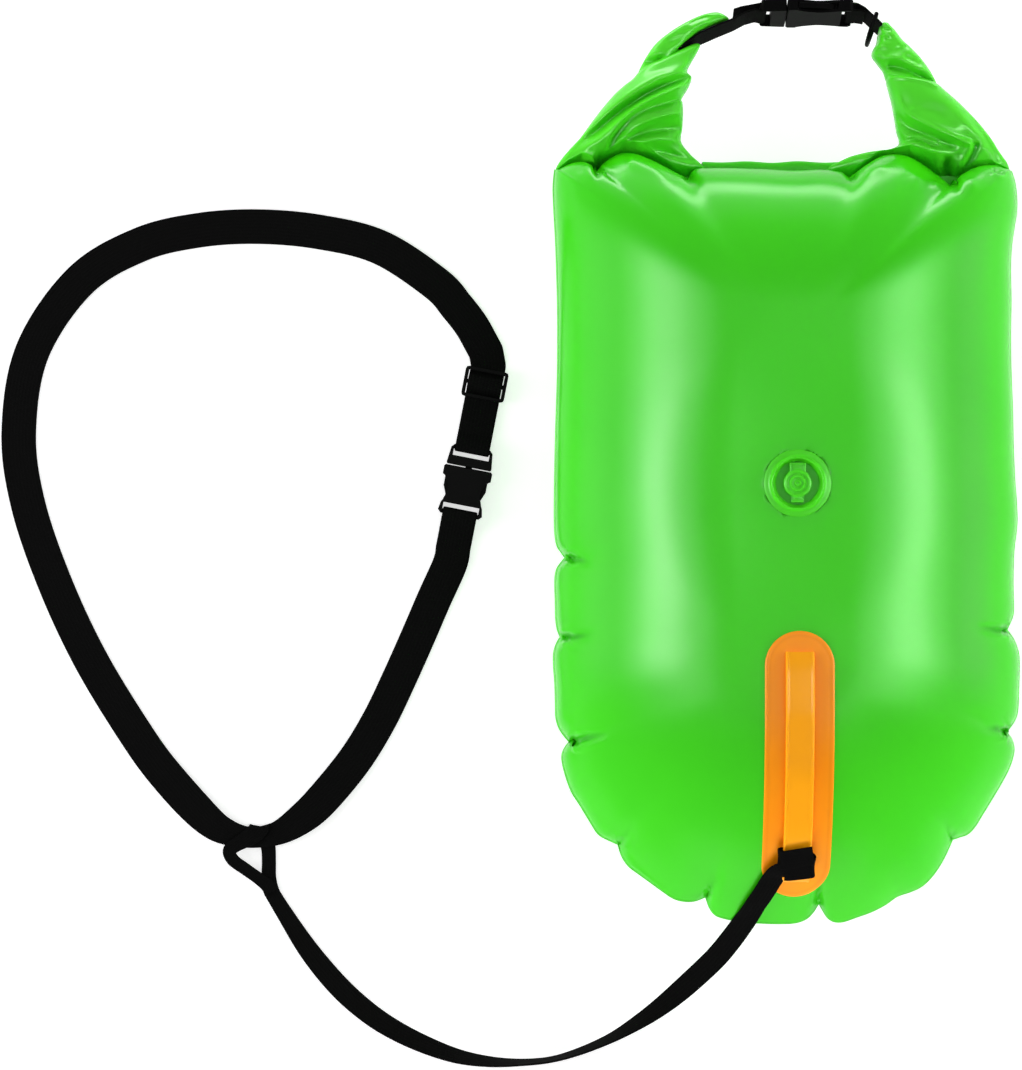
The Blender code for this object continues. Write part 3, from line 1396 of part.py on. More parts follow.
def main():
    """Build every piece of the buoy."""
    clear_scene()
    air_chamber("front_air_chamber", 1)
    air_chamber("rear_air_chamber", -1)
    seam_band()
    dry_bag_pouch()
    rolled_mouth()
    valve("front", 1)
    valve("rear", -1)
    handle_patch()
    handle_strip()
    leash_patch_loop()
    rolled_strap("leash_webbing", LEASH_ROUTE, LEASH_WIDTH)
    headed_strap("leash_belt_loop", BELT_LOOP_ROUTE, LEASH_WIDTH, STRAP_STATION / 2)
    rolled_strap("belt_webbing", BELT_ROUTE, BELT_WIDTH)
    belt_fittings()
    slider_bars()
    mouth_webbing()
    d_ring()
    gathered_arm("roll_arm_left", LEFT_ARM_SHARES, left_tip())
    gathered_arm("roll_arm_right", RIGHT_ARM_SHARES, right_tip())


EDGE = edge_outline()
CHAMBER_EDGE = inset_outline(EDGE, SEAM_REACH)
CHAMBER_CALM = calm_outline(CHAMBER_EDGE)

main()
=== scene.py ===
"""Looks of an open water swim buoy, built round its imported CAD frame.

Lengths are metres in the frame's own axes: +Y runs from the bag's foot to its carrying handle, +Z
is up, and the origin is on the floor under the middle of the belly. Tables of places are written
in millimetres and turned to metres by MM.
"""

import logging
import math
from dataclasses import dataclass
from enum import Enum
from typing import Any, Sequence

import bmesh
import bpy
import numpy as np
from bmesh.types import BMesh
from bpy.types import Material, Node, NodeSocket, NodeTree, Object
from mathutils import Matrix, Vector
from mathutils.bvhtree import BVHTree


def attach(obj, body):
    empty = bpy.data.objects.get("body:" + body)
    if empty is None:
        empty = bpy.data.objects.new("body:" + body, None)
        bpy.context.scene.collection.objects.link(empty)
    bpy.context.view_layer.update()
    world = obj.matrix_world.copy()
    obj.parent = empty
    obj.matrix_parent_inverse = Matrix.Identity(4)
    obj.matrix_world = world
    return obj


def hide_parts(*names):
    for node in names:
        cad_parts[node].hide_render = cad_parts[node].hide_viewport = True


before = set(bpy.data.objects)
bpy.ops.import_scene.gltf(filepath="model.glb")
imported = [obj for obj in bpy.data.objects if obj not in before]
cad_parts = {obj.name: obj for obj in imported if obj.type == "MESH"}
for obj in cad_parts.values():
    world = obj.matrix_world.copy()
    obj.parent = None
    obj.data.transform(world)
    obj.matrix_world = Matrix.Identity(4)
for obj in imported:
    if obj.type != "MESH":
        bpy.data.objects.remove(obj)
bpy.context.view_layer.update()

LOG = logging.getLogger("swim_buoy")
MM = 0.001
BUOY = "buoy"
WEAVE_MAP = "strap_run"
FOLD_SHADE = "fold_shade"
WHITE = (1.0, 1.0, 1.0, 1.0)

Colour = tuple[float, float, float, float]
Plan = tuple[float, float]
Place = tuple[float, float, float]
Array = np.ndarray


# ---- small tools


def linear(code: str) -> Colour:
    """Turn an sRGB hex colour to linear light.

    Args:
        code: Six hex digits after a hash sign.

    Returns:
        Red, green, blue and an alpha of one.
    """
    values = [int(code[place:place + 2], 16) / 255 for place in (1, 3, 5)]
    light = [v / 12.92 if v <= 0.04045 else ((v + 0.055) / 1.055) ** 2.4 for v in values]
    return (light[0], light[1], light[2], 1.0)


def add_node(
    tree: NodeTree, kind: str, inputs: dict[Any, Any] | None = None, **settings: Any
) -> Node:
    """Add a node with its settings, its input values and its links.

    Args:
        tree: Node tree that gets the node.
        kind: Blender's name of the node.
        inputs: Values, or nodes and sockets to link from, by input name or number. A node stands for
            its first output.
        settings: Attributes to set on the node.

    Returns:
        The new node.
    """
    made = tree.nodes.new(kind)
    for key, value in settings.items():
        setattr(made, key, value)
    for key, value in (inputs or {}).items():
        source = value.outputs[0] if isinstance(value, Node) else value
        if isinstance(source, NodeSocket):
            tree.links.new(source, made.inputs[key])
        else:
            made.inputs[key].default_value = source
    return made


def new_material(name: str) -> tuple[Material, NodeTree]:
    """Start a material with an empty node tree.

    Args:
        name: Name of the material.

    Returns:
        The material and its node tree.
    """
    made = bpy.data.materials.new(name)
    made.use_nodes = True
    made.node_tree.nodes.clear()
    return made, made.node_tree


def smooth_step(value: Array, low: float, high: float) -> Array:
    """Rise smoothly from zero at low to one at high."""
    share = np.clip((value - low) / (high - low), 0.0, 1.0)
    return share * share * (3 - 2 * share)


def crowded(count: int) -> Array:
    """Numbers from minus one to one that lie closer together near both ends."""
    return np.sin(math.pi / 2 * np.linspace(-1, 1, count))


def ease(rows: Array, times: int = 1) -> None:
    """Draw each row but the ends towards its neighbours, in place."""
    for _ in range(times):
        rows[1:-1] = (rows[:-2] + 2 * rows[1:-1] + rows[2:]) / 4


def arc_lengths(places: Array) -> Array:
    """Length of a run from its start to each of its places."""
    return np.concatenate([[0.0], np.cumsum(np.linalg.norm(np.diff(places, axis=0), axis=1))])


def lattice(
    points: Array, closed: bool = False, uv: Array | None = None, shade: Array | None = None
) -> BMesh:
    """Lay a grid of faces over rows of points.

    Args:
        points: Places, as rows by columns by three.
        closed: Whether the last column is the first one again, as on a tube.
        uv: Places on the strap map in metres, as rows by columns by two.
        shade: Share of painted fold shade at each point, by how deep in a fold it lies, from zero to one, as
            rows by columns.

    Returns:
        A bmesh whose faces follow the rows and columns.
    """
    rows, columns = points.shape[:2]
    bm = bmesh.new()
    depth = bm.verts.layers.float.new(FOLD_SHADE) if shade is not None else None
    layer = bm.loops.layers.uv.new(WEAVE_MAP) if uv is not None else None
    bmesh.ops.create_grid(bm, x_segments=columns - 1, y_segments=rows - 1, size=1.0)
    for vert in bm.verts:
        place = (round((vert.co.y + 1) / 2 * (rows - 1)), round((vert.co.x + 1) / 2 * (columns - 1)))
        vert.co = points[place]
        if depth is not None:
            vert[depth] = float(shade[place])
        if layer is not None:
            for loop in vert.link_loops:
                loop[layer].uv = uv[place]
    if closed:
        bmesh.ops.remove_doubles(bm, verts=bm.verts, dist=1e-7)
    return bm


def close_ends(bm: BMesh) -> None:
    """Close each open loop by a face and turn all faces outwards."""
    bmesh.ops.holes_fill(bm, edges=[edge for edge in bm.edges if edge.is_boundary], sides=0)
    bmesh.ops.recalc_face_normals(bm, faces=bm.faces)


def link_mesh(name: str, bm: BMesh, material: Material) -> Object:
    """Make an object of a bmesh, which is freed, and put it in the scene."""
    mesh = bpy.data.meshes.new(name)
    bm.to_mesh(mesh)
    bm.free()
    mesh.materials.append(material)
    made = bpy.data.objects.new(name, mesh)
    bpy.context.scene.collection.objects.link(made)
    return made


def place_piece(
    name: str, bm: BMesh, material: Material, nodes: Sequence[str], body: str = BUOY, sharp: float = 40.0
) -> Object:
    """Make an object of a bmesh, dress it and let it stand for CAD nodes.

    Args:
        name: Name of the new piece.
        bm: Its shape, which is freed.
        material: Its finish.
        nodes: CAD nodes that it replaces, which are hidden.
        body: CAD body that it rides on.
        sharp: Edges sharper than this, in degrees, stay sharp.

    Returns:
        The new object.
    """
    piece = link_mesh(name, bm, material)
    piece.data.shade_smooth()
    piece.data.set_sharp_from_angle(angle=math.radians(sharp))
    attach(piece, body)
    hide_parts(*nodes)
    LOG.info("%s: %d faces", name, len(piece.data.polygons))
    return piece


def smooth_run(points: Sequence[Sequence[float]], spacing: float) -> Array:
    """Read close places from a smooth curve through points of any dimension.

    Args:
        points: Points whose first three numbers are a place.
        spacing: Distance between places.

    Returns:
        One row for each place, both ends with them.
    """
    padded = [points[0], *points, points[-1]]
    rows = []
    for index in range(1, len(padded) - 2):
        before, start, end, after = (np.array(p, float) for p in padded[index - 1:index + 3])
        steps = max(1, round(float(np.linalg.norm((end - start)[:3])) / spacing))
        for step in range(steps):
            t = step / steps
            bend = (2 * before - 5 * start + 4 * end - after) * t ** 2
            bend = bend + (3 * start - 3 * end + after - before) * t ** 3
            rows.append((2 * start + (end - before) * t + bend) / 2)
    rows.append(np.array(points[-1], float))
    return np.array(rows)


def directions(places: Array) -> Array:
    """Unit directions of a run of places."""
    run = np.gradient(places, axis=0)
    return run / np.linalg.norm(run, axis=1, keepdims=True)


# ---- finishes


@dataclass(frozen=True)
class WeldedPvcFilm:
    """Plasticised PVC film, calendered glossy and hot-welded, as on inflatables.

    The eye gets an even, saturated colour with broad soft highlights, a faint cloudiness where the
    film is thinner, shallow ripples where it was stretched, and painted shade that darkens its folds.
    """

    colour: str
    shade: str
    # Colour of the painted shade in the film's folds
    deep: str
    roughness: float = 0.25
    cloud_mm: float = 70.0
    ripple_mm: float = 26.0
    ripple_depth_mm: float = 0.10
    grain_mm: float = 1.4
    gloss_level: float = 0.20

    def material(self, name: str) -> Material:
        """Build the film's material.

        Args:
            name: Name of the material.

        Returns:
            The material.
        """
        made, tree = new_material(name)
        place = add_node(tree, "ShaderNodeTexCoord").outputs["Object"]
        sizes = ((self.cloud_mm, 2.0), (self.ripple_mm, 1.0), (self.grain_mm, 2.0))
        noises = [{"Vector": place, "Scale": 1 / (size * MM), "Detail": detail} for size, detail in sizes]
        cloud, ripple, grain = (add_node(tree, "ShaderNodeTexNoise", noise) for noise in noises)
        # Painted shade: where the film lies deep in a fold, its colour is darkened towards the deep colour
        folds = add_node(tree, "ShaderNodeAttribute", attribute_name=FOLD_SHADE).outputs["Fac"]
        tint = linear(self.shade)
        for share, colour in ((cloud, self.colour), (folds, self.deep)):
            mixed = add_node(tree, "ShaderNodeMix", {0: share, 6: tint, 7: linear(colour)}, data_type="RGBA")
            tint = mixed.outputs[2]
        # Ripples of a stretched film, then its calender grain, drawn coarser than the real 0.1 mm to show
        ripples = {"Strength": 1.0, "Distance": self.ripple_depth_mm * MM, "Height": ripple}
        grains = {"Strength": 0.25, "Distance": 0.02 * MM, "Height": grain}
        grains["Normal"] = add_node(tree, "ShaderNodeBump", ripples)
        rough = {"To Min": self.roughness - 0.04, "To Max": self.roughness + 0.04}
        finish = {
            "Base Color": tint,
            "Roughness": add_node(tree, "ShaderNodeMapRange", {"Value": cloud, **rough}),
            "Normal": add_node(tree, "ShaderNodeBump", grains),
            "IOR": 1.53,
            "Specular IOR Level": self.gloss_level,
        }
        shader = add_node(tree, "ShaderNodeBsdfPrincipled", finish)
        add_node(tree, "ShaderNodeOutputMaterial", {"Surface": shader})
        return made


@dataclass(frozen=True)
class WovenWebbing:
    """Polypropylene webbing, woven flat with a rounded selvedge.

    The eye gets rows of thick yarns, about 1.2 mm apart, that cross the strap in a slanting twill,
    nearly black and only glinting on their crowns.
    """

    colour: str = "#010101"
    # Colour of the painted highlight on the yarns' crowns
    crown: str = "#080808"
    yarn_mm: float = 1.2

    def material(self, name: str) -> Material:
        """Build the webbing's material.

        Args:
            name: Name of the material.

        Returns:
            The material.
        """
        made, tree = new_material(name)
        place = add_node(tree, "ShaderNodeUVMap", uv_map=WEAVE_MAP)
        parts = add_node(tree, "ShaderNodeSeparateXYZ", {0: place}).outputs
        turn = math.tau / (self.yarn_mm * MM)
        picks = add_node(tree, "ShaderNodeMath", {0: parts["Y"], 1: turn}, operation="MULTIPLY")
        ends = add_node(tree, "ShaderNodeMath", {0: parts["X"], 1: turn / 2}, operation="MULTIPLY")
        slant = add_node(tree, "ShaderNodeMath", {0: picks, 1: ends}, operation="ADD")
        twill = add_node(tree, "ShaderNodeMath", {0: slant}, operation="SINE")
        rows = add_node(tree, "ShaderNodeMath", {0: ends}, operation="SINE")
        weave = add_node(tree, "ShaderNodeMath", {0: rows, 1: 0.6, 2: twill}, operation="MULTIPLY_ADD")
        level = add_node(tree, "ShaderNodeMapRange", {"Value": weave, "From Min": -1.6, "From Max": 1.6})
        # Painted highlight and shade: the weave's colour is lighter on the yarns' crowns than between them
        colours = {0: level, 6: linear(self.colour), 7: linear(self.crown)}
        bumps = {"Strength": 0.6, "Distance": 0.25 * MM, "Height": level}
        finish = {
            "Base Color": add_node(tree, "ShaderNodeMix", colours, data_type="RGBA").outputs[2],
            "Roughness": 0.80,
            "Normal": add_node(tree, "ShaderNodeBump", bumps),
            "Specular IOR Level": 0.03,
        }
        shader = add_node(tree, "ShaderNodeBsdfPrincipled", finish)
        add_node(tree, "ShaderNodeOutputMaterial", {"Surface": shader})
        return made


@dataclass(frozen=True)
class MouldedPlastic:
    """Injection-moulded plastic with a fine spark-eroded skin.

    The eye gets a satin sheen along rounded edges and a faint stipple on the flats.
    """

    colour: str
    roughness: float
    stipple_mm: float
    stipple_depth_mm: float
    gloss_level: float = 0.3

    def material(self, name: str) -> Material:
        """Build the plastic's material.

        Args:
            name: Name of the material.

        Returns:
            The material.
        """
        made, tree = new_material(name)
        place = add_node(tree, "ShaderNodeTexCoord").outputs["Object"]
        pits = {"Vector": place, "Scale": 1 / (self.stipple_mm * MM), "Detail": 1.0}
        stipple = add_node(tree, "ShaderNodeTexNoise", pits)
        bumps = {"Strength": 0.3, "Distance": self.stipple_depth_mm * MM, "Height": stipple}
        finish = {
            "Base Color": linear(self.colour),
            "Roughness": self.roughness,
            "Normal": add_node(tree, "ShaderNodeBump", bumps),
            "IOR": 1.48,
            "Specular IOR Level": self.gloss_level,
        }
        shader = add_node(tree, "ShaderNodeBsdfPrincipled", finish)
        add_node(tree, "ShaderNodeOutputMaterial", {"Surface": shader})
        return made


# Each film's deep colour is painted shade, towards which its folds are darkened
GREEN_FILM = WeldedPvcFilm(colour="#3BCD0B", shade="#35C508", deep="#1E900B")
# Painted light: the weld's film is a paler green than the bag's, so that its rim shows as pale as the light
# along the bag's edge
WELD_FILM_PAINTED_LIGHT = WeldedPvcFilm(colour="#63E048", shade="#58D83C", deep="#3BB020")
# Painted light: the arms' film is a lighter copy of the dry bag's, with paler painted fold shade, so that the
# arms show brighter
ARM_FILM_PAINTED_LIGHT = WeldedPvcFilm(colour="#50D828", shade="#47D11E", deep="#33A81A")
DRY_BAG_FILM = WeldedPvcFilm(colour="#3ECF10", shade="#38C80D", deep="#2CA812", roughness=0.30)
ORANGE_FILM = WeldedPvcFilm(
    colour="#FF9A06",
    shade="#FF9402",
    deep="#C96404",
    roughness=0.34,
    cloud_mm=40.0,
    ripple_mm=14.0,
    gloss_level=0.15,
)
ORANGE_STRIP_FILM = WeldedPvcFilm(
    colour="#FFA80A",
    shade="#FBA206",
    deep="#CC7006",
    roughness=0.30,
    cloud_mm=40.0,
    ripple_mm=14.0,
    gloss_level=0.15,
)
BLACK_WEBBING = WovenWebbing()
BLACK_ACETAL = MouldedPlastic(
    colour="#050505", roughness=0.42, stipple_mm=0.5, stipple_depth_mm=0.02, gloss_level=0.02
)
SOFT_VALVE_PVC = MouldedPlastic(
    colour="#48D41C", roughness=0.26, stipple_mm=2.0, stipple_depth_mm=0.02, gloss_level=0.2
)
STIFFENER_SHEET = MouldedPlastic(colour="#C4C4C4", roughness=0.5, stipple_mm=1.0, stipple_depth_mm=0.01)


# ---- relief


class Relief(Enum):
    """How a drawn line shapes a film."""

    VALLEY = "valley"
    RIDGE = "ridge"


@dataclass(frozen=True)
class DrawnLine:
    """A crease or ridge drawn over a film, seen from above.

    Attributes:
        kind: Valley or ridge.
        depth: Height of the relief in millimetres.
        width: How far it reaches to each side in millimetres.
        fade_in: Share of the line over which it starts.
        fade_out: Share of the line over which it ends.
        points: Places along the line in millimetres.
    """

    kind: Relief
    depth: float
    width: float
    fade_in: float
    fade_out: float
    points: tuple[Plan, ...]

    def lift(self, plan: Array) -> Array:
        """How far the line moves each place along the film's normal.

        Args:
            plan: Places seen from above in metres, as any shape by two.

        Returns:
            Signed distances in metres.
        """
        path = smooth_run(np.array(self.points) * MM, 2 * MM)
        starts = arc_lengths(path)
        near = np.full(plan.shape[:-1], np.inf)
        share = np.zeros(plan.shape[:-1])
        for index, length in enumerate(np.linalg.norm(np.diff(path, axis=0), axis=1)):
            run = (path[index + 1] - path[index]) / length
            offset = plan - path[index]
            along = np.clip(offset @ run, 0, length)
            gap = offset - along[..., None] * run
            distance = np.hypot(gap[..., 0], gap[..., 1])
            closer = distance < near
            near = np.where(closer, distance, near)
            share = np.where(closer, (starts[index] + along) / starts[-1], share)
        fade = smooth_step(share, 0.0, self.fade_in) * (1 - smooth_step(share, 1 - self.fade_out, 1.0))
        width = self.width * MM
        bell = np.exp(-((near / width) ** 2))
        if self.kind is Relief.RIDGE:
            return self.depth * MM * fade * bell
        # A valley pushes up a low lip on each side
        lips = np.exp(-(((near - 2.1 * width) / (1.2 * width)) ** 2))
        return self.depth * MM * fade * (0.35 * lips - bell)


def valley(depth: float, width: float, fade_in: float, fade_out: float, *points: Plan) -> DrawnLine:
    """Draw a valley."""
    return DrawnLine(Relief.VALLEY, depth, width, fade_in, fade_out, points)


def ridge(depth: float, width: float, fade_in: float, fade_out: float, *points: Plan) -> DrawnLine:
    """Draw a ridge."""
    return DrawnLine(Relief.RIDGE, depth, width, fade_in, fade_out, points)


def drawn_relief(lines: Sequence[DrawnLine], plan: Array) -> Array:
    """Add up the relief of several lines."""
    total = np.zeros(plan.shape[:-1])
    for line in lines:
        total = total + line.lift(plan)
    return total


def grid_normals(points: Array) -> Array:
    """Unit normals of rows and columns of places, to the left of rows crossed with columns."""
    normal = np.cross(np.gradient(points, axis=1), np.gradient(points, axis=0))
    size = np.linalg.norm(normal, axis=-1, keepdims=True)
    return normal / np.maximum(size, 1e-12)


def fold_depths(relief: Array, reach: int, full: float) -> Array:
    """How deep each place of a relief lies between its neighbours, as the share of painted fold shade.

    Args:
        relief: Heights over rows and columns in metres.
        reach: Rows and columns to each side over which neighbours count.
        full: Depth that counts as one, in metres.

    Returns:
        Values from zero to one.
    """
    calm = relief
    kernel = np.hanning(2 * reach + 3)[1:-1]
    kernel = kernel / kernel.sum()
    for axis in (0, 1):
        pad = [(0, 0), (0, 0)]
        pad[axis] = (reach, reach)
        wide = np.pad(calm, pad, mode="edge")
        calm = np.apply_along_axis(lambda line: np.convolve(line, kernel, mode="valid"), axis, wide)
    return np.clip((calm - relief) / full, 0.0, 1.0)


# ---- studio


@dataclass
class StudioSet:
    """Floor, daylight and lamps, and the camera that stands straight over the buoy.

    Attributes:
        camera_place: Place of the camera, which looks straight down.
        lens_mm: Lens for a film of film_mm.
        film_mm: Width of the film.
        floor_half: Half the floor's side.
        strip_tilt: Angle of each strip lamp from straight up, in degrees.
        strip_distance: How far the outer strips hang from the origin.
        strip_gap: How much nearer each nested strip hangs.
        strip_shells: Width, length and power of the nested strips, which give a highlight soft edges.
        wall_distance: How far the low walls stand from the origin.
        wall_height: Height of their middles.
        wall_size: Height and length of the side walls, turned for those at the ends.
        side_power: Power of each side wall in watts.
        foot_power: Power of the wall beyond the bag's foot.
        head_power: Power of the wall beyond its handle.
        card_place: Place of the card on the floor beyond the handle.
        card_size: Width and length of the card.
        card_power: Power of the card.
        zenith: Strength of the daylight overhead.
        horizon: Its strength low down.
        floor_glow: Light that the floor adds to its own, as the eye sees it.
    """

    camera_place: Place = (-192.15 * MM, 6.3 * MM, 3.0)
    lens_mm: float = 146.92
    film_mm: float = 36.0
    floor_half: float = 8.0
    strip_tilt: float = 31.0
    strip_distance: float = 2.8
    strip_gap: float = 0.04
    strip_shells: tuple[Place, ...] = ((0.9, 2.3, 36.0), (0.6, 1.15, 20.0), (0.34, 0.6, 6.0))
    wall_distance: float = 2.6
    wall_height: float = 0.45
    wall_size: Plan = (0.9, 2.2)
    side_power: float = 72.0
    foot_power: float = 46.0
    head_power: float = 32.0
    card_place: Place = (-0.02, 0.95, 0.01)
    card_size: Plan = (0.5, 0.9)
    card_power: float = 12.0
    zenith: float = 0.18
    horizon: float = 0.86
    floor_glow: float = 0.68

    def camera(self) -> None:
        """Set up the camera for the photographed view."""
        data = bpy.data.cameras.new("overhead_camera")
        data.sensor_fit = "HORIZONTAL"
        data.sensor_width = self.film_mm
        data.lens = self.lens_mm
        data.clip_end = 50.0
        camera = bpy.data.objects.new("overhead_camera", data)
        camera.location = self.camera_place
        bpy.context.scene.collection.objects.link(camera)
        bpy.context.scene.camera = camera

    def daylight_world(self) -> None:
        """Light the set softly, less from overhead, and show white to the eye and to gloss."""
        world = bpy.data.worlds.new("studio_daylight")
        bpy.context.scene.world = world
        world.use_nodes = True
        tree = world.node_tree
        tree.nodes.clear()
        way = add_node(tree, "ShaderNodeTexCoord").outputs["Generated"]
        height = add_node(tree, "ShaderNodeSeparateXYZ", {0: way}).outputs["Z"]
        levels = {"Value": height, "To Min": self.horizon, "To Max": self.zenith}
        shares = {0: self.seen_rays(tree), 2: add_node(tree, "ShaderNodeMapRange", levels), 3: 1.0}
        strength = add_node(tree, "ShaderNodeMix", shares, data_type="FLOAT")
        glow = add_node(tree, "ShaderNodeBackground", {"Color": WHITE, "Strength": strength})
        add_node(tree, "ShaderNodeOutputWorld", {"Surface": glow})

    def seen_rays(self, tree: NodeTree) -> NodeSocket:
        """One for rays of the camera, of gloss and through clear things, and zero for the others."""
        path = add_node(tree, "ShaderNodeLightPath").outputs
        seen = path["Is Camera Ray"]
        for ray in ("Is Glossy Ray", "Is Transmission Ray"):
            seen = add_node(tree, "ShaderNodeMath", {0: seen, 1: path[ray]}, operation="MAXIMUM").outputs[0]
        return seen

    def floor(self) -> None:
        """Lay a pale floor that keeps the buoy's shadow."""
        material, tree = new_material("white_paper_sweep")
        paper = add_node(tree, "ShaderNodeBsdfDiffuse", {"Color": linear("#D9D9D9"), "Roughness": 1.0})
        glow = add_node(tree, "ShaderNodeEmission", {"Color": WHITE, "Strength": self.floor_glow})
        lit = add_node(tree, "ShaderNodeAddShader", {0: paper, 1: glow})
        mixed = add_node(tree, "ShaderNodeMixShader", {0: self.seen_rays(tree), 1: paper, 2: lit})
        add_node(tree, "ShaderNodeOutputMaterial", {"Surface": mixed})
        bm = bmesh.new()
        bmesh.ops.create_grid(bm, x_segments=1, y_segments=1, size=self.floor_half)
        floor = link_mesh("white_paper_floor", bm, material)

    def lamps(self) -> None:
        """Light the bag from low walls all round, and give its gloss two strips and a card to mirror."""
        tilt = math.radians(self.strip_tilt)
        for name, x in (("left", -1), ("right", 1)):
            way = Vector((x * math.sin(tilt), 0.0, math.cos(tilt)))
            for layer, (width, length, power) in enumerate(self.strip_shells):
                place = way * (self.strip_distance - self.strip_gap * layer)
                self.softbox(name + "_strip", place, -way, (width, length), power, lights_colour=False)
            wall = Vector((x * self.wall_distance, 0.0, self.wall_height))
            self.softbox(name + "_wall", wall, -wall, self.wall_size, self.side_power, lights_gloss=False)
        for name, y, power in (("foot", -1, self.foot_power), ("head", 1, self.head_power)):
            wall = Vector((0.0, y * self.wall_distance, self.wall_height))
            self.softbox(name + "_wall", wall, -wall, self.wall_size[::-1], power, lights_gloss=False)
        # Only the steep top of the bag mirrors the card
        up = Vector((0.0, 0.0, 1.0))
        card = Vector(self.card_place)
        self.softbox("head_card", card, up, self.card_size, self.card_power, lights_colour=False)

    def softbox(
        self,
        name: str,
        place: Vector,
        aim: Vector,
        size: Plan,
        power: float,
        lights_colour: bool = True,
        lights_gloss: bool = True,
    ) -> None:
        """Hang one rectangular lamp that isn't seen itself.

        Args:
            name: Name of the lamp.
            place: Where it hangs.
            aim: Direction in which it shines.
            size: Its width and length.
            power: Its power in watts.
            lights_colour: Whether it adds to a surface's own colour.
            lights_gloss: Whether gloss mirrors it.
        """
        data = bpy.data.lights.new(name, "AREA")
        data.shape = "RECTANGLE"
        data.size, data.size_y = size
        data.energy = power
        lamp = bpy.data.objects.new(name, data)
        lamp.location = place
        lamp.rotation_euler = aim.to_track_quat("-Z", "Y").to_euler()
        lamp.visible_camera = False
        lamp.visible_diffuse = lights_colour
        lamp.visible_glossy = lights_gloss
        bpy.context.scene.collection.objects.link(lamp)

    def build(self) -> None:
        """Set up the view, the light and the floor."""
        self.camera()
        self.daylight_world()
        self.floor()
        self.lamps()
        bpy.context.scene.view_settings.view_transform = "Standard"


# ---- air bag

# The weld's outer edge in millimetres, lobe by lobe from the top left corner down, round the foot
# and up again, with the top edge as the last one. Each starts at a drawn-in notch and ends where
# the next one starts
WELD_LOBES: tuple[tuple[Plan, ...], ...] = (
    (
        (-162, 262.5), (-163.1, 250), (-162.7, 236), (-161.4, 212), (-160.6, 190), (-159.9, 160),
        (-160.1, 120), (-161.3, 80), (-162, 50), (-162.3, 20), (-161.8, 6), (-160.2, -1.8), (-157.6, -5.8),
    ),
    (
        (-155, -9.6), (-157.8, -13.2), (-160.6, -17.5), (-161.9, -25), (-161.6, -40), (-161.3, -52),
        (-160.3, -59.5),
    ),
    (
        (-158.2, -65), (-160.8, -69.5), (-162.6, -75.5), (-162.9, -84), (-161.9, -98), (-161.5, -112),
        (-161.2, -121.5), (-159.4, -128), (-156.4, -133.2),
    ),
    (
        (-152, -138.6), (-155.2, -142.8), (-157, -148.2), (-156.2, -155.5), (-153.2, -166), (-149.6, -174.8),
        (-144.3, -183), (-136.8, -195.4), (-132, -202.8), (-127.2, -206.2),
    ),
    (
        (-117.6, -210.6), (-116.2, -215.6), (-113.8, -221), (-109.6, -226.4), (-102.9, -231.4),
        (-94.5, -237.5), (-86.1, -243.6), (-79, -248.3), (-72, -250.4), (-64, -250.4),
    ),
    (
        (-56.2, -247.6), (-53.8, -254.4), (-49.8, -259.8), (-43.5, -262.4), (-32, -264.6), (-18, -265.8),
        (-4, -266.2), (7, -265.6), (14.6, -262.9), (19.4, -258.4),
    ),
    (
        (23.3, -252.4), (26.2, -257.6), (29.6, -262.4), (34.4, -264.9), (40.6, -264.8), (50, -261.6),
        (61, -257.6), (70.5, -252.6), (78.6, -247), (87.5, -243.9), (95, -240.4), (101.6, -234.6),
        (107.6, -226.6), (112.6, -217.6),
    ),
    (
        (117.2, -207.2), (122.4, -205.4), (127.8, -203.4), (132.8, -198.4), (138.4, -189.4), (146, -177),
        (152.2, -166.4), (157, -157), (159.6, -149), (160.4, -143), (159, -137),
    ),
    (
        (155.4, -131.4), (158.8, -127), (161.8, -121.5), (163.1, -114.5), (163.6, -103), (164, -89),
        (163.8, -78), (162.2, -71.5), (159.4, -65.4),
    ),
    (
        (155.5, -60), (157.6, -55.4), (159.6, -50), (160.1, -43), (159.7, -25), (160.3, -5), (161.6, 6),
        (162.5, 17), (162, 30), (160.9, 45), (160, 65), (159.3, 95), (158.4, 118), (157.9, 145), (158.3, 170),
        (157.9, 192), (158.6, 208), (160.6, 222), (162.2, 233), (162.2, 243), (161, 253),
    ),
    ((158.4, 261.5), (100, 264.4), (0, 264.5), (-100, 264.4)),
)
# Places in it of the two lobes at the foot's corners, and of the top right notch
CORNER_LOBES = (3, 7)
TOP_RIGHT_NOTCH = 10

# The front film's top edge from left to right, in millimetres: drawn down at four folds
FRONT_TOP_EDGE: tuple[Plan, ...] = (
    (-158.8, 262), (-150.9, 266), (-142.5, 267.5), (-136.5, 264.5), (-133, 261.5), (-129, 265.5),
    (-122.7, 270.1), (-114.5, 273.6), (-104.7, 272.7), (-91.4, 267.2), (-79.5, 260.8), (-70.4, 256.6),
    (-65.5, 260.7), (-58.9, 262.6), (-38.9, 262.8), (-17.9, 262.3), (3.1, 261.2), (25.4, 261.9), (36.7, 260),
    (45.1, 257.6), (53.4, 263.2), (64.6, 270.4), (75.1, 272.6), (86.3, 270.9), (97.5, 264.2), (108, 256.5),
    (114.8, 251.4), (121, 257.2), (131.5, 263.2), (142, 265.2), (150.1, 263.4), (156.4, 262),
)

# The weld's section: distance in from its lip and height over its middle, in millimetres
WELD_SECTION = (
    (0.1, 0), (0, 0.45), (0.3, 0.75), (0.9, 0.85), (8.5, 1.15), (8.5, -1.15), (0.9, -0.85), (0.3, -0.75),
    (0, -0.45), (0.1, 0),
)

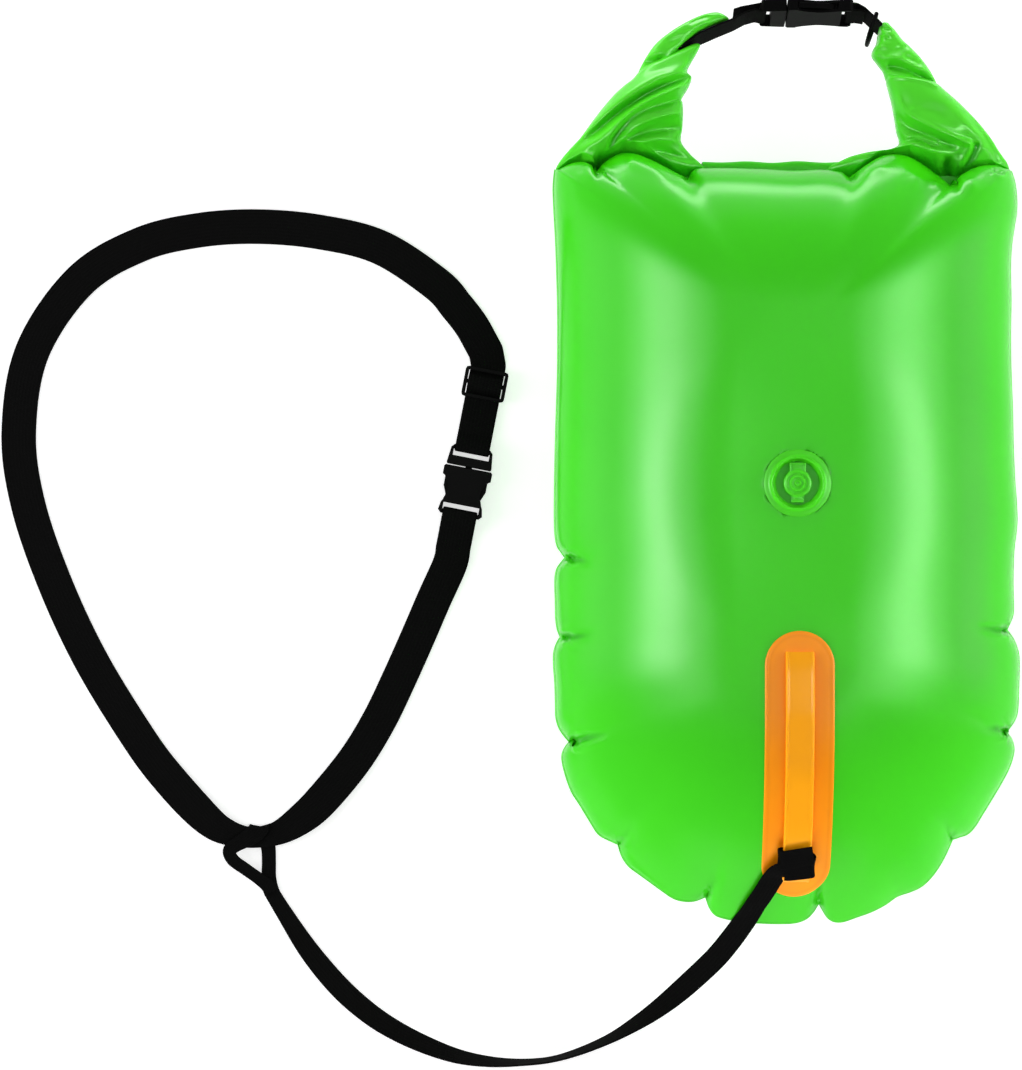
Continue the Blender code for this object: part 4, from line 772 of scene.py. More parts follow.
# Folds at the front film's top edge, where the rolled mouth pulls it down
SHOULDER_LINES = [
    valley(3, 2.4, 0.02, 0.8, (-133.2, 263), (-132.6, 257), (-131, 251)),
    ridge(1.2, 3, 0.2, 0.6, (-126, 262.5), (-124, 258), (-122, 253)),
    ridge(1.6, 5, 0.15, 0.5, (-112, 268), (-96, 260), (-80, 250.5)),
    valley(1.9, 3.4, 0.02, 0.8, (-70.4, 257), (-67, 252), (-61, 247.5)),
    valley(1.9, 3.2, 0.02, 0.8, (45.1, 258), (43.6, 252.5), (41, 248)),
    ridge(1.4, 4, 0.2, 0.5, (52, 256), (60, 259.5), (72, 260)),
    valley(2.3, 3, 0.02, 0.8, (114.6, 253), (114.4, 246), (113.8, 239)),
    ridge(1.5, 3.8, 0.2, 0.6, (104, 251), (101.5, 245), (99.5, 239)),
    ridge(1, 4, 0.3, 0.6, (91, 257), (86.5, 249), (83, 243)),
    ridge(1.2, 4, 0.2, 0.6, (124, 253), (126.5, 246), (128, 240)),
    valley(1.6, 1.8, 0.1, 0.4, (143, 261), (147.5, 258.6), (152, 258.4)),
]


class Side(Enum):
    """Which chamber, by the sign of its normal."""

    FRONT = 1
    REAR = -1


@dataclass(frozen=True)
class ChamberForm:
    """What one chamber has of its own.

    Attributes:
        flat: Share of the way out over which its crown is flat.
        top_power: How round its top end is, as the power of an ellipse.
        seat: Depth of its valve's seat, and the radii where that starts to rise and where it ends.
    """

    flat: float
    top_power: float
    seat: Place


CHAMBER_FORMS = {
    Side.FRONT: ChamberForm(0.24, 0.5, (3.5 * MM, 24.5 * MM, 108 * MM)),
    Side.REAR: ChamberForm(0.50, 1.6, (13.5 * MM, 24.5 * MM, 35 * MM)),
}


@dataclass
class AirBag:
    """Two air chambers welded at one scalloped edge, with the flat dry bag between them.

    Attributes:
        middle: Height of the weld over the floor.
        sheet_gap: Distance from the middle to each chamber's inner sheet.
        weld: Width of the weld's outer lip.
        spine: Lowest and highest place of the line that the chambers swell about.
        side_power: How round the sides are, as the power of an ellipse.
        foot_power: The same for the foot.
        notch_power: How soon a notch fades inwards.
        rise: Height of each crown over its inner sheet.
        calm_length: Length of edge over which the outline without its notches is averaged.
        outline_step: Distance between places on the outline.
        valve: Middle of both valves.
        valve_hole: Depth of the clear hole under a valve, and the radii between which it ends.
        columns: Faces of the film's net across the bag.
        rows: Faces of the net along it.
        front_skin: The front film once it is built.
    """

    middle: float = 80 * MM
    sheet_gap: float = 1.5 * MM
    weld: float = 1.1 * MM
    spine: Plan = (-70 * MM, 135 * MM)
    side_power: float = 0.5
    foot_power: float = 0.936
    notch_power: int = 9
    rise: float = 78.5 * MM
    calm_length: float = 110 * MM
    outline_step: float = 1.6 * MM
    valve: Plan = (3.2 * MM, 41.7 * MM)
    valve_hole: Place = (28 * MM, 17.2 * MM, 21.8 * MM)
    columns: int = 230
    rows: int = 320
    front_skin: BVHTree | None = None

    def skin_height(self, x: float, y: float) -> float:
        """Height of the front film at a place seen from above."""
        hit = self.front_skin.ray_cast(Vector((x, y, 1.0)), Vector((0.0, 0.0, -1.0)))[0]
        return hit.z if hit is not None else self.middle

    def lobes(self) -> list[Array]:
        """Plan points of the weld's outer edge, lobe by lobe, each without its last point."""
        following = WELD_LOBES[1:] + WELD_LOBES[:1]
        runs = [np.array((*lobe, after[0])) * MM for lobe, after in zip(WELD_LOBES, following)]
        return [smooth_run(run, self.outline_step)[:-1] for run in runs]

    def inward(self, edge: Array, inset: float) -> Array:
        """Draw edge points in towards the spine by a real distance."""
        spine = np.stack([np.zeros(len(edge)), np.clip(edge[:, 1], *self.spine)], axis=1)
        way = spine - edge
        return edge + way / np.linalg.norm(way, axis=1, keepdims=True) * inset

    def borders(self, side: Side, inset: float) -> dict[str, Array]:
        """Four border runs of a chamber's film: left, right, foot and top.

        Args:
            side: Which chamber.
            inset: Distance of the border from the weld's lip.

        Returns:
            Plan points by border: left and right from the foot up, foot and top from the left.
        """
        runs = [self.inward(run, inset) for run in self.lobes()]
        edge = np.concatenate(runs[:TOP_RIGHT_NOTCH] + [runs[TOP_RIGHT_NOTCH][:1]])
        starts = np.cumsum([0] + [len(run) for run in runs])
        low_left, low_right = (starts[corner] + len(runs[corner]) // 2 for corner in CORNER_LOBES)
        left, foot, right = edge[:low_left + 1][::-1], edge[low_left:low_right + 1], edge[low_right:]
        if side is Side.FRONT:
            top = np.concatenate([left[-1:], smooth_run(np.array(FRONT_TOP_EDGE) * MM, MM), right[-1:]])
        else:
            top = np.concatenate([runs[TOP_RIGHT_NOTCH], left[-1:]])[::-1]
        return {"left": left, "right": right, "foot": foot, "top": top}

    @staticmethod
    def read_run(run: Array, shares: Array) -> Array:
        """Places at shares of a run's length."""
        lengths = arc_lengths(run)
        at = shares * lengths[-1]
        return np.stack([np.interp(at, lengths, run[:, 0]), np.interp(at, lengths, run[:, 1])], axis=1)

    def plan_grid(self, borders: dict[str, Array]) -> Array:
        """Lay a net over a chamber seen from above, closer near its borders.

        Args:
            borders: The chamber's border runs.

        Returns:
            Rows by columns by two, from the foot up and from the left.
        """
        s, t = ((1 + crowded(count + 1)) / 2 for count in (self.columns, self.rows))
        foot, top = self.read_run(borders["foot"], s), self.read_run(borders["top"], s)
        left, right = self.read_run(borders["left"], t), self.read_run(borders["right"], t)
        s, t = s[None, :, None], t[:, None, None]
        ruled = (1 - t) * foot[None] + t * top[None] + (1 - s) * left[:, None] + s * right[:, None]
        corners = (1 - t) * ((1 - s) * foot[0] + s * foot[-1]) + t * ((1 - s) * top[0] + s * top[-1])
        return ruled - corners

    def reach(self, plan: Array, rim: Array) -> Array:
        """Distance from the spine to a rim, in the direction of each place.

        Args:
            plan: Places seen from above.
            rim: Closed run of rim points.

        Returns:
            One distance for each place.
        """
        low, high = self.spine
        x, y = plan[..., 0], plan[..., 1]
        angle = np.arctan2(y - np.clip(y, low, high), x)
        result = np.zeros(x.shape)
        for sign in (-1, 1):
            wall = rim[(np.sign(rim[:, 0]) == sign) & (rim[:, 1] > low - 0.01) & (rim[:, 1] < high + 0.01)]
            wall = wall[np.argsort(wall[:, 1])]
            inside = (y >= low) & (y <= high) & (np.sign(x + 1e-9) == sign)
            result = np.where(inside, np.interp(y, wall[:, 1], np.abs(wall[:, 0])), result)
        for end, beyond in ((high, y > high), (low, y < low)):
            part = rim[rim[:, 1] >= end - 1e-9] if end == high else rim[rim[:, 1] <= end + 1e-9]
            turn = np.arctan2(part[:, 1] - end, part[:, 0])
            order = np.argsort(turn)
            radius = np.hypot(part[:, 0], part[:, 1] - end)
            result = np.where(beyond, np.interp(angle, turn[order], radius[order]), result)
        return result

    def swell(self, plan: Array, borders: dict[str, Array], form: ChamberForm) -> Array:
        """Height share of a chamber at each place, one at its crown and zero at its weld.

        Args:
            plan: Places seen from above.
            borders: The chamber's border runs.
            form: Form of the chamber.

        Returns:
            Height shares.
        """
        rim = np.concatenate([borders["left"][::-1], borders["foot"], borders["right"], borders["top"][::-1]])
        window = round(self.calm_length / self.outline_step)
        kernel = np.hanning(window)
        kernel = kernel / kernel.sum()
        padded = np.concatenate([rim[-window:], rim, rim[:window]])
        calm = np.stack([np.convolve(padded[:, k], kernel, mode="same") for k in (0, 1)], axis=1)
        calm = calm[window:-window]
        sharp_reach, calm_reach = self.reach(plan, rim), self.reach(plan, calm)
        spine_y = np.clip(plan[..., 1], *self.spine)
        away = np.hypot(plan[..., 0], plan[..., 1] - spine_y)
        share = np.clip(away / sharp_reach, 0, 1)
        for _ in range(6):
            reach = calm_reach + (sharp_reach - calm_reach) * share ** self.notch_power
            share = np.clip(away / reach, 0, 1)
        share[0], share[-1], share[:, 0], share[:, -1] = 1.0, 1.0, 1.0, 1.0
        lengthwise = (plan[..., 1] - spine_y) / np.maximum(away, 1e-9)
        end_power = np.where(lengthwise < 0, self.foot_power, form.top_power)
        power = self.side_power + (end_power - self.side_power) * lengthwise ** 2
        along = np.clip((share - form.flat) / (1 - form.flat), 0, 1)
        return np.clip(1 - along ** 2, 0, 1) ** power

    def notch_lines(self) -> list[DrawnLine]:
        """Short creases that each notch sends inwards, and the fine ones beside it."""
        lines = []
        for index, lobe in enumerate(WELD_LOBES[1:TOP_RIGHT_NOTCH]):
            place = np.array(lobe[0]) * MM
            spine = np.array((0.0, np.clip(place[1], *self.spine)))
            way = (spine - place) / np.linalg.norm(spine - place)
            aside = np.array((-way[1], way[0]))
            reach = 0.020 + 0.006 * (index % 3)
            lean = aside * 0.004 * (1 if index % 2 else -1)
            start = place + way * 0.001
            # The foot's notches hardly crease its full curve
            depth = 2.6 if lobe[0][1] > -200 else 0.9
            main = (start, place + way * reach / 2 + lean / 3, place + way * reach + lean)
            lines.append(valley(depth, 2.2, 0.02, 0.9, *(tuple(point / MM) for point in main)))
            for hand in (-1, 1):
                turn = way + aside * hand * 0.75
                turn = turn / np.linalg.norm(turn)
                fine = [start + turn * far for far in (0.003, 0.010, 0.013 + 0.003 * (index % 2))]
                lines.append(valley(depth * 0.27, 1.5, 0.1, 0.7, *(tuple(point / MM) for point in fine)))
        return lines

    def dimple(self, plan: Array, seat: Place) -> Array:
        """Depth of the seat that a valve draws into the film, with its clear hole in the middle.

        Args:
            plan: Places seen from above.
            seat: Its depth, and the radii where it starts to rise and where it meets the film again.

        Returns:
            Depths, positive into the bag.
        """
        away = np.hypot(plan[..., 0] - self.valve[0], plan[..., 1] - self.valve[1])
        return sum(depth * (1 - smooth_step(away, *radii)) for depth, *radii in (seat, self.valve_hole))

    def chamber(self, side: Side, material: Material) -> None:
        """Build one chamber as a closed body: its swollen film over its flat inner sheet.

        Args:
            side: Which chamber.
            material: Its finish.
        """
        borders = self.borders(side, self.weld)
        plan = self.plan_grid(borders)
        front, sign = side is Side.FRONT, side.value
        form = CHAMBER_FORMS[side]
        sheet = self.middle + sign * self.sheet_gap
        height = sheet + sign * (self.rise * self.swell(plan, borders, form))
        points = np.concatenate([plan, height[..., None]], axis=-1)
        inside = np.ones(plan.shape[:-1])
        inside[0], inside[-1], inside[:, 0], inside[:, -1] = 0.0, 0.0, 0.0, 0.0
        relief = drawn_relief(self.notch_lines() + (SHOULDER_LINES if front else []), plan) * inside
        points = points + grid_normals(points) * sign * relief[..., None]
        out = sign * (points[..., 2] - sign * self.dimple(plan, form.seat))
        # The film stays a little off its inner sheet, and the belly on the floor
        out = np.where(inside > 0, np.maximum(out, sign * sheet + 0.2 * MM), out)
        points[..., 2] = np.maximum(sign * out, 0.0)
        # Painted shade darkens the film where its folds and notches lie deep
        bm = lattice(points, shade=fold_depths(relief, 5, 2.6 * MM) * inside)
        close_ends(bm)
        if front:
            self.front_skin = BVHTree.FromBMesh(bm)
        name, node = side.name.lower() + "_chamber_film", side.name.lower() + "_air_chamber"
        place_piece(name, bm, material, [node], sharp=60.0)

    def weld_seam(self, material: Material) -> None:
        """Build the welded rim round the sides and foot, thinner at its lip."""
        runs = self.lobes()
        edge = np.concatenate(runs[:TOP_RIGHT_NOTCH] + [runs[TOP_RIGHT_NOTCH][:1]])
        columns = []
        for inset, lift in WELD_SECTION:
            height = np.full((len(edge), 1), self.middle + lift * MM)
            columns.append(np.concatenate([self.inward(edge, inset * MM), height], axis=1))
        bm = lattice(np.stack(columns, axis=1), closed=True)
        close_ends(bm)
        place_piece("edge_weld_rim", bm, material, ["edge_weld_seam"])

    def build(self) -> None:
        """Build both chambers and the weld between them."""
        film = GREEN_FILM.material("green_pvc_film_welded")
        self.chamber(Side.FRONT, film)
        self.chamber(Side.REAR, film)
        self.weld_seam(WELD_FILM_PAINTED_LIGHT.material("green_pvc_weld_painted_light"))


# ---- roll top


@dataclass
class GatheredFilm:
    """A gathered tube of film, laid over rows of outer and inner places, with its folds drawn on.

    Attributes:
        rows: Outer x and y, inner x and y, middle height and half depth of each row, in millimetres.
        folds: Folds of its upper side.
        fold_share: Strength of all its folds.
        rear_share: Strength of the same folds underneath.
        sides: Points round the tube.
        spacing: Distance between rows.
        fullness: Power of its section, two for an ellipse and more for a fuller one.
        held: Heights between which the chambers' welded edges hold it.
        rear_edge: How far up the bag the rear chamber holds it.
        release: How steeply it may swell beyond the edges.
    """

    rows: tuple[tuple[float, ...], ...]
    folds: tuple[DrawnLine, ...]
    fold_share: float = 0.82
    rear_share: float = 0.6
    sides: int = 200
    spacing: float = 0.8 * MM
    fullness: float = 2.5
    held: Plan = (79 * MM, 81 * MM)
    rear_edge: float = 264 * MM
    release: float = 2.0

    def net(self) -> tuple[Array, Array, Array]:
        """Places, share across and share of depth of each point of the plain tube."""
        rows = smooth_run(np.array(self.rows) * MM, self.spacing)
        outer, inner, middle, depth = rows[:, None, 0:2], rows[:, None, 2:4], rows[:, 4:5], rows[:, 5:6]
        turn = np.linspace(0, math.tau, self.sides + 1)
        waves = (np.cos(turn), np.sin(turn))
        across, lift = (np.sign(wave) * np.abs(wave) ** (2 / self.fullness) for wave in waves)
        plan = (outer + inner) / 2 + (outer - inner) / 2 * across[None, :, None]
        height = middle + depth * lift[None]
        points = np.concatenate([plan, height[..., None]], axis=-1)
        return points, np.broadcast_to(across, height.shape), np.broadcast_to(lift, height.shape)

    def build(self, name: str, node: str, material: Material) -> None:
        """Build the tube with its folds, held down under the bag's top edge.

        Args:
            name: Name of the piece.
            node: CAD node that it replaces.
            material: Its finish.
        """
        points, across, lift = self.net()
        plan = points[..., :2]
        relief = self.fold_share * drawn_relief(self.folds, plan) * (1 - np.abs(across) ** 6)
        upper = lift > 0
        relief = np.where(upper, relief, -self.rear_share * relief) * smooth_step(np.abs(lift), 0.0, 0.5)
        points[..., 2] += relief
        # The chambers' welded edges hold the tube down to the dry bag's own thickness
        edge = np.array(FRONT_TOP_EDGE) * MM
        rise = (plan[..., 1] - np.interp(plan[..., 0], edge[:, 0], edge[:, 1])) * self.release
        front_limit = self.held[1] + np.maximum(rise + 0.5 * MM, 0.0)
        rear_limit = self.held[0] - np.maximum((plan[..., 1] - self.rear_edge) * self.release, 0.0)
        points[..., 2] = np.clip(points[..., 2], rear_limit, front_limit)
        # Painted shade darkens the tube where its folds lie deep
        shade = fold_depths(np.where(upper, relief, -relief), 6, 4.4 * MM)
        bm = lattice(points, closed=True, shade=shade)
        close_ends(bm)
        place_piece(name, bm, material, [node], sharp=70.0)


LEFT_ARM = GatheredFilm(
    rows=(
        (-160, 244, -56, 246, 80, 1), (-161.5, 254, -56, 256, 80, 1.6), (-161, 262, -58, 264.5, 80, 9),
        (-157.5, 268.5, -66.8, 273, 80, 12), (-151, 276.3, -73, 281.5, 81, 14),
        (-143.8, 284, -72.2, 291.1, 81, 15.5), (-136.5, 294, -71.6, 301, 81, 17),
        (-128.5, 304.5, -72, 308.5, 80, 18), (-120.4, 314, -72.6, 311.5, 79, 18.5),
        (-113.4, 320.6, -67.6, 320, 78, 18), (-107, 325.6, -65.7, 326.8, 77.5, 16.5),
        (-103.2, 330, -68.6, 330.8, 76.5, 14.5), (-97, 335.6, -65.6, 337.5, 75.5, 12.5),
        (-89, 339.6, -61.2, 345.4, 74, 10.5), (-81, 343.2, -59.4, 350, 72.5, 8.5),
        (-76, 345.4, -62, 351.4, 71.5, 6), (-72, 347.2, -66.5, 350.2, 71, 2),
    ),
    folds=(
        # The deep fold under the long outer band, and the band's rolled lip
        valley(8, 3.2, 0.22, 0.02, (-155, 270.5), (-142.8, 281.5), (-133.5, 287.6), (-117.8, 300),
               (-104, 309.6), (-90.6, 317.4), (-77, 323.4), (-63, 328.6)),
        ridge(2.6, 5, 0.1, 0.05, (-151, 278), (-133.5, 292.5), (-117, 305.5), (-100, 316.5), (-82, 325),
              (-64, 332.5)),
        # Pleats that fan out from the bag's corner to the inner edge
        ridge(3.4, 2.2, 0.1, 0.05, (-130.5, 266.5), (-121.9, 284.4), (-113.8, 296.1), (-102.2, 305.3),
              (-88.3, 312.3), (-70.5, 320.8)),
        valley(3.6, 2.8, 0.05, 0.05, (-131.5, 262), (-126, 273), (-118, 287), (-108, 297), (-95.2, 304),
               (-70, 311.5)),
        ridge(3.2, 1.9, 0.2, 0.05, (-118.5, 278), (-111.5, 284.4), (-99.9, 292.6), (-83.6, 298.4),
              (-68.5, 301.6)),
        valley(4.2, 4.2, 0.25, 0.05, (-114, 280.5), (-102, 286.2), (-88, 289.4), (-70, 290.4)),
        ridge(3.4, 3, 0.25, 0.05, (-116, 278.4), (-102.2, 279.8), (-90.6, 282.7), (-71, 281.2)),
        valley(1.8, 2.2, 0.3, 0.2, (-96, 277), (-85, 273.6), (-60.4, 266.5)),
        valley(4.6, 2.2, 0.05, 0.6, (-133.4, 259), (-131.8, 266), (-127, 276)),
        ridge(1.6, 3.2, 0.3, 0.3, (-147, 264), (-141, 270), (-134, 272)),
    ),
)
LEFT_ARM_TIP = GatheredFilm(
    rows=(
        (-100.5, 321.5, -90, 320, 76, 3), (-104.2, 326, -87, 325, 76, 6.5),
        (-102.6, 331.5, -83, 333, 75.6, 8), (-97.6, 341, -78, 340.6, 74.8, 9),
        (-91.2, 350.2, -73.6, 346.4, 73.6, 9.5), (-82.6, 357.8, -67.6, 352.6, 72.2, 9.8),
        (-72.4, 364.6, -60.4, 358.4, 70.6, 9.8), (-61.6, 370.2, -52.6, 362.4, 69, 9.6),
        (-53.4, 373, -46.4, 364.8, 67.8, 9.2), (-46.8, 373.6, -42, 366.2, 67, 8),
        (-41.6, 371.6, -39.8, 367.4, 66.6, 5), (-39.4, 370, -38.8, 368.8, 66.4, 1.6),
    ),
    folds=(
        valley(4.6, 3, 0.1, 0.5, (-104, 334), (-96, 338), (-88.5, 342)),
        valley(4, 2.4, 0.1, 0.3, (-98.5, 330), (-91, 337), (-83, 341.5)),
        ridge(1.6, 2.2, 0.2, 0.4, (-88.5, 353), (-79, 360.6), (-66, 367)),
        valley(2.2, 1.8, 0.3, 0.3, (-70, 363), (-60, 368), (-50, 370.4)),
        valley(1.2, 2.4, 0.3, 0.5, (-86, 350), (-78, 352), (-68, 357)),
    ),
    sides=120,
)
RIGHT_ARM = GatheredFilm(
    rows=(
        (157, 244, 30, 246, 80, 1), (158.6, 254, 29, 256, 80, 1.6), (156.8, 262, 30, 263.4, 80, 7),
        (155, 267, 38.2, 268, 80, 10), (152.6, 270.4, 46.6, 271.6, 80, 12),
        (148.8, 275.6, 58.8, 274.4, 80.5, 14), (144.6, 282.4, 70.6, 275.6, 81, 15),
        (140, 288.4, 79, 279.6, 81, 16.5), (134.5, 295, 77.4, 288.6, 81, 17.5),
        (127.6, 302.4, 76.2, 297.2, 80, 18.5), (120.4, 309.6, 74.6, 306.8, 79, 19),
        (112, 317, 72.2, 317, 78, 18), (106.4, 322, 70.6, 323.6, 77.4, 16),
        (100.6, 324.6, 71.2, 327.4, 76.8, 13), (95, 325.8, 74, 328.4, 76.4, 9), (90, 326.6, 80, 328, 76, 3),
    ),
    folds=(
        # The long bright lip that runs down from the inner edge to the deep pucker
        ridge(3.6, 2.1, 0.2, 0.03, (77.6, 319), (78, 312), (79.6, 305.6), (84.8, 298.2), (95.6, 291.8),
              (109.6, 285.3), (128.6, 278)),
        valley(5, 4.4, 0.2, 0.15, (76, 308), (77.4, 299), (83, 292), (94, 286.4), (108, 281), (122, 276.4)),
        ridge(3, 2.2, 0.02, 0.1, (129.2, 278.4), (122.6, 265.2), (118.3, 256)),
        valley(6, 3, 0.25, 0.05, (111.8, 272), (112.6, 262), (115.4, 251)),
        valley(3.4, 2.4, 0.15, 0.1, (133, 281), (128.6, 270), (121.6, 258)),
        valley(2.4, 1.6, 0.3, 0.3, (80, 279.6), (90.2, 281.9), (99.9, 278.4), (109.5, 274.4)),
        ridge(1.6, 2.4, 0.3, 0.3, (86, 275.6), (98, 274), (109, 268)),
        # The long soft panel and the strip that turns away beyond it
        ridge(1.8, 6, 0.3, 0.3, (99, 319), (110, 308), (124, 294), (138, 277)),
        valley(2.4, 2.6, 0.3, 0.1, (122, 303.5), (134, 291), (144, 277), (150, 265)),
        ridge(2.2, 1.8, 0.05, 0.05, (70, 326), (82, 325.4), (94, 323.4), (106, 318.6)),
        valley(2.2, 2.6, 0.3, 0.3, (52, 272.8), (64, 270.4), (80, 270.2)),
        valley(0.9, 4, 0.4, 0.4, (88, 304), (100, 302), (112, 298)),
    ),
)
RIGHT_ARM_TIP = GatheredFilm(
    rows=(
        (96, 314, 84, 314, 76, 3), (103, 318.6, 76, 318.6, 76, 8), (106, 322, 70.6, 324.6, 76, 11.5),
        (103.4, 328.4, 68.6, 330.6, 75.4, 12.5), (99.8, 334.4, 64.8, 336, 74.4, 12.5),
        (94.4, 341.8, 61.2, 341.4, 72.6, 14), (88, 348.6, 61.4, 345.6, 70.8, 15),
        (82.4, 354, 64.4, 351.4, 69, 15.4), (78, 360, 65.5, 357.2, 67.4, 15.4),
        (74.6, 363.6, 66.6, 361.4, 66.2, 15), (72.6, 365.6, 67.2, 364.4, 65.6, 14),
        (70.6, 366.2, 68.2, 365.8, 65.2, 9),
    ),
    folds=(
        valley(5.4, 2.8, 0.1, 0.1, (70, 334.6), (80, 333), (90.2, 328.6), (104, 321.6)),
        ridge(2, 2.6, 0.2, 0.3, (66, 339.6), (76, 339), (88, 334.6), (98, 330)),
        valley(2.2, 2.8, 0.3, 0.3, (80.5, 341.5), (89, 337), (97, 333)),
        valley(2, 1.6, 0.1, 0.5, (61, 352), (68, 354.5), (76, 350)),
        valley(2.2, 1.2, 0.05, 0.5, (62.5, 361.5), (66.6, 357), (71, 358)),
        valley(2, 1.1, 0.05, 0.5, (66.4, 364), (70, 360.6), (75.6, 359.4)),
        ridge(1.8, 1.4, 0.1, 0.6, (60, 345.6), (66, 347.6), (73, 346.6)),
        valley(1.4, 2.4, 0.2, 0.6, (86, 350), (80, 346), (72, 345)),
    ),
    sides=140,
)


@dataclass
class RollTop:
    """The dry bag's flat body and neck, its rolled mouth and the two gathered arms.

    Attributes:
        sheet: Thickness of the flattened neck, both films together.
        half_width: Half the neck's width.
        centre: Middle of the neck across the bag.
        turns: Turns of the roll.
        pitch: Distance between its turns.
        core: Radius of its first turn.
        axis: Place of its axis, along the bag and over the floor.
        inset: How far the flat body stays from the weld's lip.
    """

    sheet: float = 2.4 * MM
    half_width: float = 59 * MM
    centre: float = 1 * MM
    turns: float = 2.5
    pitch: float = 3.4 * MM
    core: float = 1.8 * MM
    axis: Plan = (256.3 * MM, 45 * MM)
    inset: float = 9.0 * MM
    neck_line: tuple[Plan, ...] = (
        (246.5, 80), (256, 80), (264.4, 80), (266.6, 79.4), (267.7, 77.6), (267.8, 74), (267.8, 60),
        (267.8, 45.3),
    )

    def flat_body(self, bag: AirBag, material: Material) -> None:
        """Build the dry bag's flat body between the chambers."""
        coarse = AirBag(columns=48, rows=72)
        plan = coarse.plan_grid(coarse.borders(Side.REAR, self.inset))
        height = np.full(plan.shape[:2] + (1,), bag.middle + self.sheet / 2)
        bm = lattice(np.concatenate([plan, height], axis=-1))
        bmesh.ops.solidify(bm, geom=bm.faces[:], thickness=-self.sheet)
        bmesh.ops.recalc_face_normals(bm, faces=bm.faces)
        place_piece("dry_bag_body", bm, material, ["dry_bag_pouch"])

    def neck(self, material: Material) -> None:
        """Build the flattened neck, turned down behind the bag's shoulder."""
        line = smooth_run(np.array(self.neck_line) * MM, MM)
        x = self.centre + np.linspace(-1, 1, 97) * self.half_width
        wave = 0.35 * MM * np.sin(x / (17 * MM) * math.tau / 2) + 0.2 * MM * np.sin(x / (7.3 * MM))
        bend = smooth_step(line[:, 0], 256 * MM, 266 * MM)
        points = np.empty((len(line), len(x), 3))
        points[..., 0] = x[None]
        points[..., 1] = line[:, :1] + wave[None] * bend[:, None]
        points[..., 2] = line[:, 1:]
        bm = lattice(points)
        bmesh.ops.solidify(bm, geom=bm.faces[:], thickness=self.sheet)
        bmesh.ops.recalc_face_normals(bm, faces=bm.faces)
        place_piece("dry_bag_neck", bm, material, ["dry_bag_pouch"])

    def roll(self, material: Material) -> None:
        """Build the rolled mouth as one long spiral, pulled a little uneven along its width."""
        turn = np.linspace(0, self.turns * math.tau, 150)
        radius = self.core + self.pitch * turn / math.tau
        outer, inner = radius + self.sheet / 2, radius - self.sheet / 2
        angle = np.concatenate([turn, turn[::-1], turn[:1]]) - self.turns * math.tau
        radius = np.concatenate([outer, inner[::-1], outer[:1]])
        x = np.linspace(-1, 1, 91) * self.half_width + self.centre
        uneven = 1 + 0.035 * np.sin(x / (13 * MM)) + 0.02 * np.sin(x / (5.1 * MM) + 1.0)
        points = np.empty((len(x), len(angle), 3))
        points[..., 0] = x[:, None]
        points[..., 1] = self.axis[0] + radius[None] * uneven[:, None] * np.cos(angle)[None]
        points[..., 2] = self.axis[1] + radius[None] * uneven[:, None] * np.sin(angle)[None]
        bm = lattice(points, closed=True)
        close_ends(bm)
        place_piece("rolled_mouth_spiral", bm, material, ["rolled_mouth"], sharp=60.0)

    def arms(self, material: Material) -> None:
        """Build both arms, each a folded base that the twisted tip comes out of."""
        for side, base, tip in (("left", LEFT_ARM, LEFT_ARM_TIP), ("right", RIGHT_ARM, RIGHT_ARM_TIP)):
            base.build(side + "_arm_gathered_base", "roll_arm_" + side, material)
            tip.build(side + "_arm_twisted_tip", "roll_arm_" + side, material)

    def build(self, bag: AirBag) -> None:
        """Build every piece of the roll top.

        Args:
            bag: The air bag that it comes out of.
        """
        film = DRY_BAG_FILM.material("green_pvc_film_dry_bag")
        self.flat_body(bag, film)
        self.neck(film)
        self.roll(film)
        self.arms(ARM_FILM_PAINTED_LIGHT.material("green_pvc_film_arms_painted_light"))
        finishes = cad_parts["mouth_stiffener"].data.materials
        finishes.clear()
        finishes.append(STIFFENER_SHEET.material("grey_polyethylene_strip"))


# ---- oral valve


def lathe(profile: Sequence[Plan], steps: int, frame_of: Matrix) -> BMesh:
    """Turn a profile about the valve's axis.

    Args:
        profile: Radius and height of each corner in millimetres, the first one repeated at the end
            where the profile doesn't start and end on the axis.
        steps: Steps of the full turn.
        frame_of: Place and turn of the valve.

    Returns:
        A closed body of revolution.
    """
    bm = bmesh.new()
    verts = [bm.verts.new((radius * MM, 0.0, height * MM)) for radius, height in profile]
    geom = verts + [bm.edges.new(pair) for pair in zip(verts, verts[1:])]
    around = {"cent": (0.0, 0.0, 0.0), "axis": (0.0, 0.0, 1.0), "angle": math.tau}
    bmesh.ops.spin(bm, geom=geom, steps=steps, use_merge=True, **around)
    bmesh.ops.remove_doubles(bm, verts=bm.verts, dist=2e-6)
    bmesh.ops.recalc_face_normals(bm, faces=bm.faces)
    bmesh.ops.transform(bm, matrix=frame_of, verts=bm.verts)
    return bm


